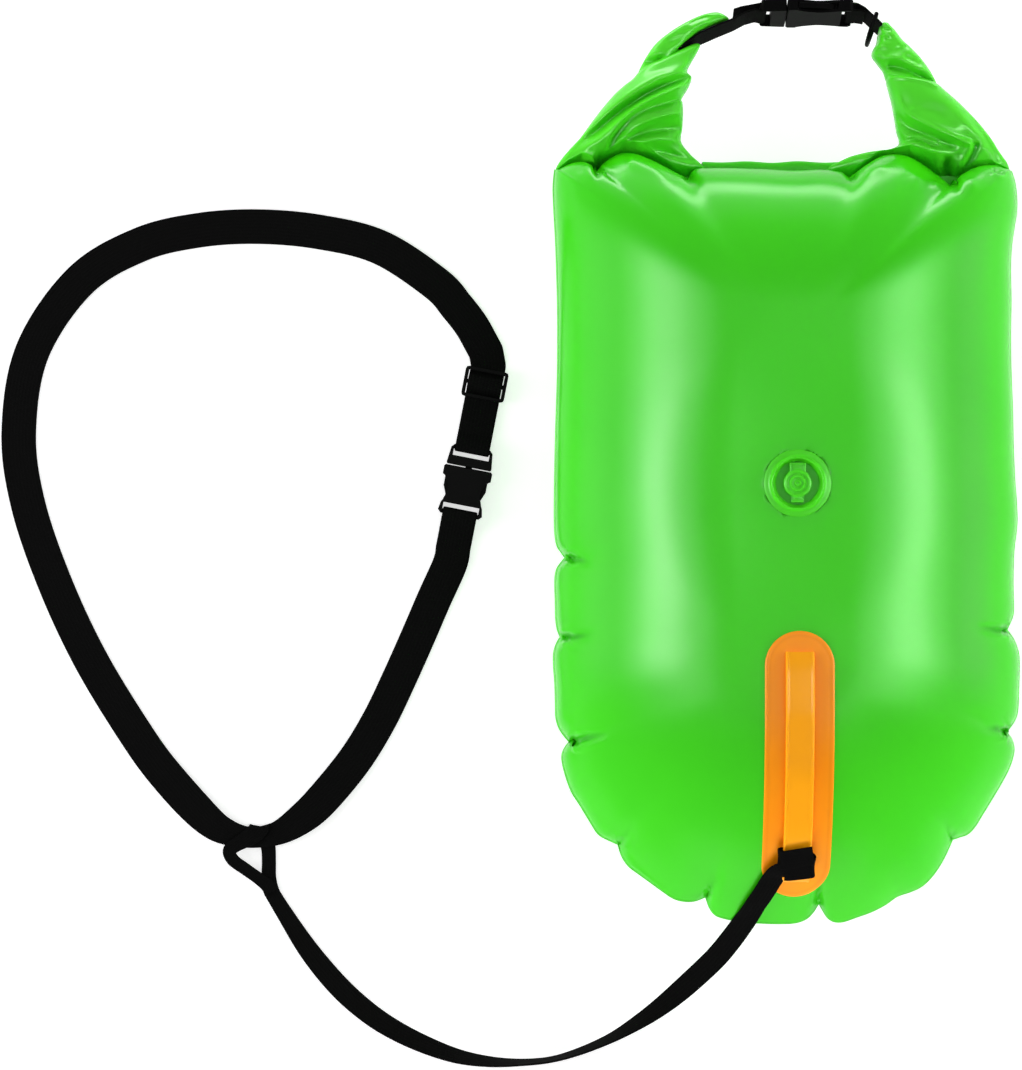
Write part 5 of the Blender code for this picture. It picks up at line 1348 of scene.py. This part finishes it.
def add_block(
    bm: BMesh, low: Sequence[float], high: Sequence[float], bevel_mm: float, frame_of: Matrix
) -> None:
    """Add a block with rounded edges to a bmesh.

    Args:
        bm: Bmesh that gets the block.
        low: Its lowest corner in millimetres.
        high: Its highest corner in millimetres.
        bevel_mm: Radius of its edges.
        frame_of: Place and turn of the part.
    """
    size = [(b - a) * MM for a, b in zip(low, high)]
    middle = Vector([(a + b) / 2 * MM for a, b in zip(low, high)])
    made = bmesh.ops.create_cube(bm, size=1.0)["verts"]
    bmesh.ops.scale(bm, vec=size, verts=made)
    bmesh.ops.translate(bm, vec=middle, verts=made)
    edges = list({edge for vert in made for edge in vert.link_edges})
    result = bmesh.ops.bevel(
        bm, geom=edges, offset=bevel_mm * MM, segments=3, profile=0.5, affect="EDGES", material=-1
    )
    moved = {v for face in result["faces"] for v in face.verts} | {v for v in made if v.is_valid}
    bmesh.ops.transform(bm, matrix=frame_of, verts=list(moved))


# A valve's parts: end of the piece's name, end of the CAD node's name, profile as radius and height
# of each corner, and blocks as lowest corner, highest corner and radius of their edges, all in
# millimetres
VALVE_PARTS = (
    (
        "welded_flange",
        "flange",
        (
            (23, 0.35), (22.9, 0.5), (22.4, 0.66), (20.6, 0.74), (19.2, 0.86), (18.6, 1.35), (18.25, 2.3),
            (17.9, 2.72), (17.5, 2.8), (17.1, 2.7), (16.75, 2.2), (16.5, 1.3), (15.9, 0.7), (15.4, 0.3),
            (14.9, -0.2), (14.8, -3), (8.4, -3), (8.4, -5.2), (15.8, -5.2), (16.2, -4.9), (16.4, 0.3),
            (22.6, 0.3), (23, 0.35),
        ),
        (),
    ),
    (
        "sliding_stem",
        "stem",
        (
            (9.6, 0), (9.6, -1.2), (9.4, -1.4), (8, -1.4), (8, -13.6), (9.8, -13.6), (10, -13.8), (10, -15.1),
            (4.6, -15.1), (4.6, 0.1), (4.8, 0.2), (9.4, 0.2), (9.6, 0),
        ),
        (((-4.5, -13.2, -1.3), (4.5, -8.6, -0.1), 0.3),),
    ),
    (
        "tethered_cap",
        "cap",
        (
            (0, -3.7), (2.6, -3.7), (2.9, -3.4), (4.1, 0.4), (4.3, 0.5), (9.2, 0.5), (9.5, 0.8), (9.5, 2.2),
            (9.2, 2.7), (8.6, 2.9), (8, 2.9), (7.6, 2.6), (7.2, 2.1), (6, 2), (5.6, 2.5), (5.2, 2.9),
            (4.6, 2.9), (4.2, 2.5), (3.9, 2), (2.6, 1.9), (2.2, 2.4), (1.8, 2.8), (1.3, 2.8), (0.9, 2.3),
            (0, 2.2),
        ),
        (
            ((-5.5, 6.6, 1.2), (5.5, 13.8, 2), 0.35), ((-5.5, 7.4, 1.4), (-4.6, 13.8, 3), 0.4),
            ((4.6, 7.4, 1.4), (5.5, 13.8, 3), 0.4), ((-5.5, 12.9, 1.4), (5.5, 13.8, 2.7), 0.4),
            ((-3.4, -12.6, 1), (3.4, -7, 2), 0.4), ((-4.2, -13.3, 0.4), (4.2, -11.1, 2.5), 0.9),
        ),
    ),
    (
        "inner_flap",
        "flap",
        ((0, -16.1), (6, -16.1), (6.2, -15.9), (6.2, -15.4), (0, -15.4)),
        (((-2, -7.4, -16.1), (2, -5, -15.5), 0.2),),
    ),
)


@dataclass
class OralValve:
    """An oral inflation valve: welded flange, sliding stem, tethered cap and inner flap.

    Attributes:
        prefix: Start of its CAD nodes' names.
        centre: Its place on the seat in the film.
        faces_down: Whether it is the one on the belly.
        steps: Steps of its round shapes.
    """

    prefix: str
    centre: Place
    faces_down: bool = False
    steps: int = 96

    def build(self, material: Material) -> None:
        """Build the valve's four pieces, each on its own body.

        Args:
            material: Soft moulded PVC.
        """
        turn = Matrix.Rotation(math.pi if self.faces_down else 0.0, 4, "Y")
        place = Matrix.Translation(self.centre) @ turn
        for look, part, profile, blocks in VALVE_PARTS:
            bm = lathe(profile, self.steps, place)
            for low, high, bevel_mm in blocks:
                add_block(bm, low, high, bevel_mm, place)
            body = BUOY if part == "flange" else f"{self.prefix}_{part}"
            place_piece(f"{self.prefix}_valve_{look}", bm, material, [f"{self.prefix}_valve_{part}"], body)


# ---- handle patch


@dataclass
class HandlePatch:
    """The orange patch welded on the front film, and the strip that makes a handle on it.

    Attributes:
        centre: Middle of both across the bag.
        foot: End of the patch nearest the bag's foot.
        head: Its other end.
        width: Width of the patch.
        thickness: Thickness of the patch.
        rest: Distance from the film to the patch's underside.
        strip_width: Width of the strip.
        strip_thickness: Thickness of the strip.
        strip_line: Places along the bag and over the floor of the strip's middle.
        strip_foot: Where its lower end is welded on the patch.
        groove: Depth of the pressed weld's groove, its distance from the patch's edge and its width.
        hem: Height of the strip's rolled hem, its distance from the edge and its width.
        crown: Rise of the strip's middle.
    """

    centre: float = 4.5 * MM
    foot: float = -245.0 * MM
    head: float = -59.0 * MM
    width: float = 47.5 * MM
    thickness: float = 0.9 * MM
    rest: float = 0.3 * MM
    strip_width: float = 19.5 * MM
    strip_thickness: float = 1.4 * MM
    strip_line: tuple[Plan, ...] = (
        (-73.4, 162.2), (-84.06, 165.14), (-94.13, 165.8), (-104.19, 165.8), (-114.57, 165.77),
        (-124.94, 164.37), (-135, 162.99), (-145.06, 161.61), (-155.53, 160.16), (-166.16, 156.71),
        (-176.36, 152.56), (-186.42, 148.46), (-196.8, 144.21), (-207.27, 138.02), (-217.43, 131.27),
        (-227.26, 123.86),
    )
    strip_foot: float = -233.0 * MM
    groove: Place = (0.08 * MM, 3.0 * MM, 1.1 * MM)
    hem: Place = (0.55 * MM, 1.2 * MM, 0.75 * MM)
    crown: float = 0.25 * MM

    def patch(self, bag: AirBag, material: Material) -> None:
        """Build the patch, which follows the film and has a pressed weld along its edge.

        Args:
            bag: The air bag, whose film carries the patch.
            material: Its finish.
        """
        radius = self.width / 2
        turn = np.linspace(0, math.pi / 2, 22)
        low = self.foot + radius - radius * np.cos(turn)
        high = self.head - radius + radius * np.sin(turn)
        straight = np.linspace(low[-1], high[0], 92)[1:-1]
        y = np.concatenate([low, straight, high])
        half = np.concatenate([radius * np.sin(turn), np.full(len(straight), radius), radius * np.cos(turn)])
        plan_x = self.centre + half[:, None] * crowded(49)[None]
        plan_y = np.broadcast_to(y[:, None], plan_x.shape)
        skin = np.array([[bag.skin_height(px, py) for px, py in zip(*row)] for row in zip(plan_x, plan_y)])
        for _ in range(8):
            ease(skin.T)
            ease(skin)
        ends = np.minimum(y - self.foot, self.head - y)[:, None]
        off = plan_x - self.centre
        edge = np.where(ends < radius, radius - np.hypot(off, radius - ends), 1.0)
        edge = np.maximum(np.minimum(edge, half[:, None] - np.abs(off)), 0.0)
        depth, inset, reach = self.groove
        groove = depth * np.exp(-(((edge - inset) / reach) ** 2))
        top = self.rest + self.thickness * (0.55 + 0.45 * smooth_step(edge, 0.0, 0.8 * MM)) - groove
        upper = np.stack([plan_x, plan_y, skin + top], axis=-1)
        lower = np.stack([plan_x, plan_y, skin + self.rest], axis=-1)
        ring = np.concatenate([upper, lower[:, ::-1], upper[:, :1]], axis=1)
        # Painted shade darkens the pressed weld's groove, by its depth
        shade = np.concatenate([groove, groove[:, ::-1] * 0, groove[:, :1]], axis=1) / (0.5 * MM)
        bm = lattice(ring, closed=True, shade=shade)
        bmesh.ops.remove_doubles(bm, verts=bm.verts, dist=2e-6)
        close_ends(bm)
        place_piece("handle_patch_welded", bm, material, ["handle_patch"], sharp=50.0)

    def strip(self, bag: AirBag, material: Material) -> None:
        """Build the handle strip with its rolled hems.

        Args:
            bag: The air bag under it.
            material: Its finish.
        """
        foot = bag.skin_height(self.centre, self.strip_foot) + self.rest + self.thickness
        foot += self.strip_thickness / 2
        line = smooth_run([*np.array(self.strip_line) * MM, (self.strip_foot, foot)], 1.2 * MM)
        ease(line, 12)
        run = directions(line)
        out = np.stack([run[:, 1], -run[:, 0]], axis=1)
        out = out * np.sign(out[:, 1:2] + 1e-9)
        half = self.strip_width / 2
        across = crowded(33)
        inset = half - np.abs(across) * half
        bead, middle, reach = self.hem
        bead = bead * np.exp(-(((inset - middle) / reach) ** 2))
        rim = smooth_step(inset, 0.0, 0.5 * MM)
        lift = self.strip_thickness * (0.5 * rim) + bead + self.crown * (1 - across ** 2)
        sink = -self.strip_thickness / 2 * (0.4 + 0.6 * rim)
        rows = []
        for offset, x in ((lift, across), (sink[::-1], across[::-1])):
            place = line[:, None] + out[:, None] * offset[None, :, None]
            x = np.broadcast_to((self.centre + x * half)[None, :, None], place.shape[:2] + (1,))
            rows.append(np.concatenate([x, place], axis=-1))
        bm = lattice(np.concatenate([rows[0], rows[1], rows[0][:, :1]], axis=1), closed=True)
        close_ends(bm)
        place_piece("handle_strip_hemmed", bm, material, ["handle_strip"], sharp=60.0)

    def build(self, bag: AirBag) -> None:
        """Build the patch and its strip on the bag's front film."""
        self.patch(bag, ORANGE_FILM.material("orange_pvc_patch_welded"))
        self.strip(bag, ORANGE_STRIP_FILM.material("orange_pvc_strip_hemmed"))


# ---- moulded parts


@dataclass
class MouldedCopy:
    """A moulded part that takes its shape from its CAD node, with its sharp edges eased.

    Attributes:
        node: CAD node.
        body: CAD body that it rides on.
        ease: Radius of the eased edges.
        sharp: Edges sharper than this, in degrees, are eased.
    """

    node: str
    body: str = BUOY
    ease: float = 0.28 * MM
    sharp: float = 28.0

    def build(self, material: Material) -> Object:
        """Build the part.

        Args:
            material: Its finish.

        Returns:
            The new piece.
        """
        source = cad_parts[self.node]
        bm = bmesh.new()
        bm.from_mesh(source.data)
        bmesh.ops.transform(bm, matrix=source.matrix_world, verts=bm.verts)
        bmesh.ops.remove_doubles(bm, verts=bm.verts, dist=1e-6)
        bmesh.ops.dissolve_limit(bm, angle_limit=math.radians(1.0), verts=bm.verts, edges=bm.edges)
        edges = [e for e in bm.edges if e.is_manifold and e.calc_face_angle(0.0) > math.radians(self.sharp)]
        bevel = {"offset": self.ease, "segments": 2, "profile": 0.5, "affect": "EDGES", "material": -1}
        bmesh.ops.bevel(bm, geom=edges, clamp_overlap=True, **bevel)
        return place_piece(self.node + "_moulded", bm, material, [self.node], self.body, sharp=12.0)


# ---- webbing

# The straps' routes and folds in millimetres, as the part has them. The two free routes also give
# the roll about their run in degrees. The loop on the belt gives the level heading of its width in
# degrees and the share of its full width that it keeps
BELT_ROUTE = (
    (-233.7, -2.6, 2.4, 0), (-236.1, -14.6, 1.8, 0), (-247.5, -40, 1.2, 0), (-260, -69, 1.1, 0),
    (-273, -98, 1.1, 0), (-287, -127, 1.2, 0), (-304.5, -155.5, 2, 0), (-327, -183, 3, 0),
    (-342, -197, 3.6, 0), (-359, -207.5, 3.7, 0), (-377, -211, 3.7, 0), (-395, -207.5, 3.7, 0),
    (-411, -197.5, 3.4, 0), (-437, -170, 2.2, 0), (-459, -141, 1.3, 0), (-494, -84, 1.1, 0),
    (-521, -26, 1.1, 0), (-540, 31, 1.1, 0), (-546, 82, 1.1, 0), (-536, 139, 1.1, 0), (-502, 189, 1.1, 0),
    (-459, 215, 1.1, 0), (-416, 225.5, 1.1, 0), (-373, 228, 1.1, 0), (-329, 224, 1.1, 0), (-286, 213, 1.1, 0),
    (-246, 187, 1.1, 0), (-231, 170.5, 1.1, 0), (-221.3, 158, 1.1, 0), (-215.5, 148.1, 1, 0),
)
LEASH_ROUTE = (
    (-1, -224.5, 128.6, -37), (-4.5, -225, 127.8, -36), (-8, -226.8, 124.2, -30), (-10.5, -229.8, 119.6, -24),
    (-12.7, -233.6, 115.6, -20), (-15.2, -238.5, 111.4, -20), (-18.4, -244.4, 106.1, -21),
    (-21.7, -250, 100.5, -21), (-25.2, -256.6, 93.4, -17), (-29.4, -264.2, 84.4, -8),
    (-37.4, -277.6, 69.6, 2), (-46.5, -291, 55, 9), (-57.5, -303.8, 41.5, 15), (-72, -318.8, 27.5, 26),
    (-86, -331.2, 19.5, 42), (-101.5, -342.6, 14, 57), (-121, -354.5, 10, 72), (-143, -364, 8.8, 79),
    (-164, -370, 8.7, 83), (-186, -372, 8.6, 80), (-207, -371.5, 8.3, 70), (-229, -368, 7.8, 58),
    (-250, -361, 7, 46), (-272, -351, 5.5, 34), (-293, -338, 4.2, 22), (-315, -319, 2.5, 10),
    (-337, -293, 1.2, 2), (-356, -264, 1.1, 0), (-364.8, -249.4, 1.1, 0),
)
BELT_LOOP_ROUTE = (
    (-363.4, -251.8, 1.2, 29, 0.7), (-365.4, -246, 1.15, 18, 0.7), (-366.3, -238.5, 1.1, 6, 0.66),
    (-366.2, -229, 1.1, 0, 0.64), (-366.6, -219, 1.1, 3, 0.66), (-368.8, -209.5, 1.4, 6, 0.78),
    (-371, -204.8, 2.4, 3, 0.92), (-372.6, -203.3, 4.4, 0, 0.96), (-374, -205.4, 6.3, -8, 0.88),
    (-377.4, -208.8, 6.9, -24, 0.82), (-383.2, -212.6, 6.8, -44, 0.72), (-390, -216.4, 6.5, -38, 0.64),
    (-394.4, -220.6, 6, -6, 0.6), (-391.6, -227.2, 5, 36, 0.58), (-383.6, -233.2, 4, 52, 0.56),
    (-374.4, -239.8, 3.2, 54, 0.56), (-367, -245.6, 2.9, 48, 0.64), (-364, -250.4, 2.7, 34, 0.72),
)
PATCH_LOOP_FOLD = (
    (15.5, -213.8, 137.6), (6, -215.4, 137.1), (-3.5, -217.2, 135.5), (-6.6, -217, 134.2),
    (-8.2, -216.2, 132), (-7.4, -215.5, 130), (-5.25, -215.2, 128.75), (14.25, -218.9, 126.4),
    (15.6, -219.9, 126.8), (16.3, -221.2, 127.6), (16.3, -222.4, 128.6), (15.6, -223.2, 129.3),
    (13.8, -223.8, 129.3), (-1, -225.6, 127.9), (-3, -225.4, 128),
)
BELT_SEWN_FOLD = (
    (-232.63, 2.58, 0.85), (-230.15, 15.34, 1.24), (-229.05, 21.01, 1.95), (-228.59, 23.35, 1.95),
    (-228.44, 24.13, 2.91), (-228.44, 24.13, 6.49), (-228.59, 23.35, 7.45), (-229.05, 21.01, 7.45),
    (-230.15, 15.34, 6.5), (-231.37, 9.06, 3.1), (-232.63, 2.58, 2.45), (-233.8, -3.4, 2.35),
)
ADJUSTER_FOLD = (
    (-216.1, 149.1, 1), (-210.1, 138, 1), (-208.26, 127.94, 0.85), (-208.76, 125.38, 2.65),
    (-209.25, 122.83, 2.65), (-209.9, 119.49, 5.05), (-210.27, 117.63, 8.55), (-210.86, 114.59, 8.55),
    (-211.45, 111.54, 8.55), (-211.81, 109.68, 5.05), (-212.46, 106.34, 2.65), (-212.96, 103.79, 2.65),
    (-213.45, 101.24, 2.45), (-217.88, 78.46, 3.1), (-219.1, 72.18, 6.5), (-219.88, 68.18, 7.45),
    (-220.33, 65.84, 7.45), (-220.48, 65.06, 6.49), (-220.48, 65.06, 2.91), (-220.33, 65.84, 1.95),
    (-219.88, 68.18, 1.95), (-218.22, 76.7, 0.85), (-212.96, 103.79, 0.85), (-212.46, 106.34, 0.85),
    (-211.51, 111.25, 2.65), (-211.32, 112.18, 3.6), (-211.32, 112.18, 6), (-211.09, 113.38, 6.95),
    (-210.62, 115.79, 6.95), (-210.39, 116.99, 6), (-210.39, 116.99, 3.6), (-210.62, 115.79, 2.65),
    (-210.86, 114.59, 2.65),
)
MOUTH_LEFT_FOLD = (
    (-82, 338.5, 69.5), (-71, 347.2, 67.8), (-59.02, 355.6, 66.2), (-46, 361.4, 65), (-36, 365.6, 63.8),
    (-27.5, 370.2, 62.9), (-20.3, 372.26, 62.47), (-16.23, 371.34, 62.71), (-13.85, 371.34, 62.71),
    (-13.05, 372.27, 62.46), (-13.05, 375.73, 61.54), (-13.85, 376.66, 61.29), (-16.23, 376.66, 61.29),
    (-20.3, 375.74, 61.53), (-30.7, 373.81, 62.05), (-35.7, 372.07, 62.52),
)
MOUTH_RIGHT_FOLD = (
    (56.3, 370.72, 62.88), (50.9, 371.68, 62.62), (46.83, 371.34, 62.71), (44.45, 371.34, 62.71),
    (43.65, 372.27, 62.46), (43.65, 375.73, 61.54), (44.45, 376.66, 61.29), (46.83, 376.66, 61.29),
    (50.9, 376.32, 61.38), (56.3, 373.23, 62.21), (67.34, 362.34, 65.12), (72, 354.68, 67.18),
    (78.44, 344.11, 70.01),
)

# A strap's section, as shares of half its width and of half its thickness
STRAP_SECTION = (
    (-1, 0), (-0.975, -0.62), (-0.93, -0.93), (-0.8, -1), (0.8, -1), (0.93, -0.93), (0.975, -0.62), (1, 0),
    (0.975, 0.62), (0.93, 0.93), (0.8, 1), (-0.8, 1), (-0.93, 0.93), (-0.975, 0.62), (-1, 0),
)


@dataclass
class Webbing:
    """A flat woven strap with rounded selvedges, swept along its run.

    Attributes:
        width: Width of the strap.
        thickness: Its thickness.
        spacing: Distance between its sections.
        gathering: How much of its lost width goes into its thickness, as a power.
    """

    width: float
    thickness: float = 1.3 * MM
    spacing: float = 2.0 * MM
    gathering: float = 0.8

    def rolled(self, route: Sequence[Sequence[float]]) -> tuple[Array, Array]:
        """Places and width directions of a route that gives the roll at each point."""
        rows = smooth_run(np.array(route) * (MM, MM, MM, 1), self.spacing)
        places, roll = rows[:, :3], np.radians(rows[:, 3:4])
        run = directions(places)
        level = np.stack([-run[:, 1], run[:, 0], np.zeros(len(run))], axis=1)
        level = level / np.linalg.norm(level, axis=1, keepdims=True)
        return places, level * np.cos(roll) + np.cross(run, level) * np.sin(roll)

    def headed(self, route: Sequence[Sequence[float]]) -> tuple[Array, Array, Array]:
        """Places, width directions and width shares of a route that gives its headings and shares."""
        rows = smooth_run(np.array(route) * (MM, MM, MM, 1, 1), self.spacing)
        turn = np.radians(rows[:, 3])
        return rows[:, :3], np.stack([np.cos(turn), np.sin(turn), np.zeros(len(turn))], axis=1), rows[:, 4]

    def folded(
        self, fold: Sequence[Sequence[float]], across: Sequence[float], lead: Sequence[float] = ()
    ) -> tuple[Array, Array]:
        """Places and width directions of a fold, its corners eased.

        Args:
            fold: Places in millimetres.
            across: Direction of the strap's width.
            lead: Headings of its width over the first points, in degrees, if they differ.

        Returns:
            Places and width directions.
        """
        points = np.array(fold) * MM
        widths = np.tile(np.array(across, float), (len(points), 1))
        for index, heading in enumerate(lead):
            widths[index] = (math.cos(math.radians(heading)), math.sin(math.radians(heading)), 0.0)
        lengths = arc_lengths(points)
        at = np.linspace(0, lengths[-1], max(12, round(lengths[-1] / (0.5 * MM))))
        places, widths = (
            np.stack([np.interp(at, lengths, column) for column in rows.T], axis=1)
            for rows in (points, widths)
        )
        ease(places, 3)
        return places, widths

    def build(
        self, name: str, node: str, run: tuple[Array, ...], material: Material
    ) -> Object:
        """Sweep the strap and let it stand for its CAD node.

        Args:
            name: Name of the piece.
            node: CAD node that it replaces.
            run: Places, width directions and, where it is gathered, its share of its full width.
            material: Its finish.

        Returns:
            The strap.
        """
        places, widths = run[:2]
        girth = run[2] if len(run) > 2 else np.ones(len(places))
        along = directions(places)
        widths = widths - along * np.sum(widths * along, axis=1, keepdims=True)
        widths = widths / np.linalg.norm(widths, axis=1, keepdims=True)
        through = np.cross(along, widths)
        share = np.array(STRAP_SECTION)
        depth = through / girth[:, None] ** self.gathering
        points = (
            places[:, None]
            + (widths * girth[:, None])[:, None] * (share[None, :, :1] * self.width / 2)
            + depth[:, None] * (share[None, :, 1:] * self.thickness / 2)
        )
        side = np.broadcast_to(share[None, :, 0] * self.width / 2, points.shape[:2])
        uv = np.stack([side, np.broadcast_to(arc_lengths(places)[:, None], points.shape[:2])], axis=-1)
        bm = lattice(points, closed=True, uv=uv)
        close_ends(bm)
        return place_piece(name, bm, material, [node])


@dataclass
class Leash:
    """The 16 mm leash: its loop round the handle strip, its free run and its loop round the belt.

    Attributes:
        width: Width of the webbing.
        gathered_share: How much of the width the gathering takes at the loop on the belt.
        gathered_reach: How far from that loop the free run is still gathered.
    """

    width: float = 16 * MM
    gathered_share: float = 0.30
    gathered_reach: float = 45 * MM

    def build(self, material: Material) -> None:
        """Build the leash's free run and its two loops."""
        strap = Webbing(self.width)
        free = strap.rolled(LEASH_ROUTE)
        away = np.linalg.norm(free[0] - free[0][-1], axis=1)
        free = (*free, 1 - self.gathered_share * np.exp(-((away / self.gathered_reach) ** 2)))
        leash = strap.build("leash_free_webbing", "leash_webbing", free, material)
        fold = Webbing(self.width, spacing=1.0 * MM)
        belt_fold = fold.headed(BELT_LOOP_ROUTE)
        belt_loop = fold.build("leash_loop_on_belt", "leash_belt_loop", belt_fold, material)
        strip_fold = fold.folded(PATCH_LOOP_FOLD, (0.0, -0.832, -0.555))
        fold.build("leash_loop_on_strip", "leash_patch_loop", strip_fold, material)


@dataclass
class WaistBelt:
    """The 25 mm waist belt with its sewn end and its adjuster.

    Attributes:
        width: Width of the belt.
        gathered_at: Where the leash's loop gathers it.
        gathered_share: How much of the width that takes.
        gathered_reach: How far along the belt that shows.
    """

    width: float = 25 * MM
    gathered_at: Plan = (-375.0 * MM, -211.0 * MM)
    gathered_share: float = 0.40
    gathered_reach: float = 30 * MM

    def build(self, material: Material, fittings: Sequence[Object]) -> None:
        """Build the belt, its sewn end and its adjuster fold.

        Args:
            material: Finish of the webbing.
            fittings: Buckle and slider pieces on the belt; not used.
        """
        strap = Webbing(self.width)
        free = strap.rolled(BELT_ROUTE)
        away = np.linalg.norm(free[0][:, :2] - np.array(self.gathered_at), axis=1)
        free = (*free, 1 - self.gathered_share * np.exp(-((away / self.gathered_reach) ** 2)))
        belt = strap.build("belt_free_webbing", "belt_webbing", free, material)
        across = (0.982, -0.191, 0.0)
        sewn = strap.build("belt_sewn_fold", "belt_sewn_end", strap.folded(BELT_SEWN_FOLD, across), material)
        adjuster_run = strap.folded(ADJUSTER_FOLD, across, lead=(28, 18))
        adjuster = strap.build("belt_adjuster_fold", "belt_adjuster_webbing", adjuster_run, material)


@dataclass
class MouthWebbing:
    """The 25 mm webbing at each end of the rolled mouth, folded round the buckle's rails."""

    width: float = 25 * MM

    def build(self, material: Material) -> None:
        """Build both folds."""
        strap = Webbing(self.width)
        across = (0.0, -0.259, -0.966)
        left = strap.folded(MOUTH_LEFT_FOLD, across)
        strap.build("mouth_webbing_left_fold", "mouth_webbing_left", left, material)
        right = strap.folded(MOUTH_RIGHT_FOLD, across)
        strap.build("mouth_webbing_right_fold", "mouth_webbing_right", right, material)


def main() -> None:
    """Build the set and every piece of the buoy."""
    logging.basicConfig(level=logging.INFO, format="%(name)s: %(message)s")
    StudioSet().build()
    bag = AirBag()
    bag.build()
    RollTop().build(bag)
    valve_pvc = SOFT_VALVE_PVC.material("green_soft_pvc_moulded")
    OralValve("front", (3.2 * MM, 41.7 * MM, 156.5 * MM)).build(valve_pvc)
    OralValve("rear", (3.2 * MM, 41.7 * MM, 13.5 * MM), faces_down=True).build(valve_pvc)
    HandlePatch().build(bag)
    webbing = BLACK_WEBBING.material("black_polypropylene_webbing_woven")
    acetal = BLACK_ACETAL.material("black_acetal_moulded")
    belt_fittings = []
    for place in ("top", "belt"):
        parts = [MouldedCopy(f"{place}_buckle_housing"), MouldedCopy(f"{place}_buckle_plug")]
        for hand in ("left", "right"):
            parts.append(MouldedCopy(f"{place}_buckle_{hand}_prong", f"{place}_{hand}_prong"))
        made = [part.build(acetal) for part in parts]
        belt_fittings += made if place == "belt" else []
    belt_fittings.append(MouldedCopy("belt_slider").build(acetal))
    MouldedCopy("d_ring", "ring").build(acetal)
    MouthWebbing().build(webbing)
    Leash().build(webbing)
    WaistBelt().build(webbing, belt_fittings)


if __name__ == "__main__":
    main()
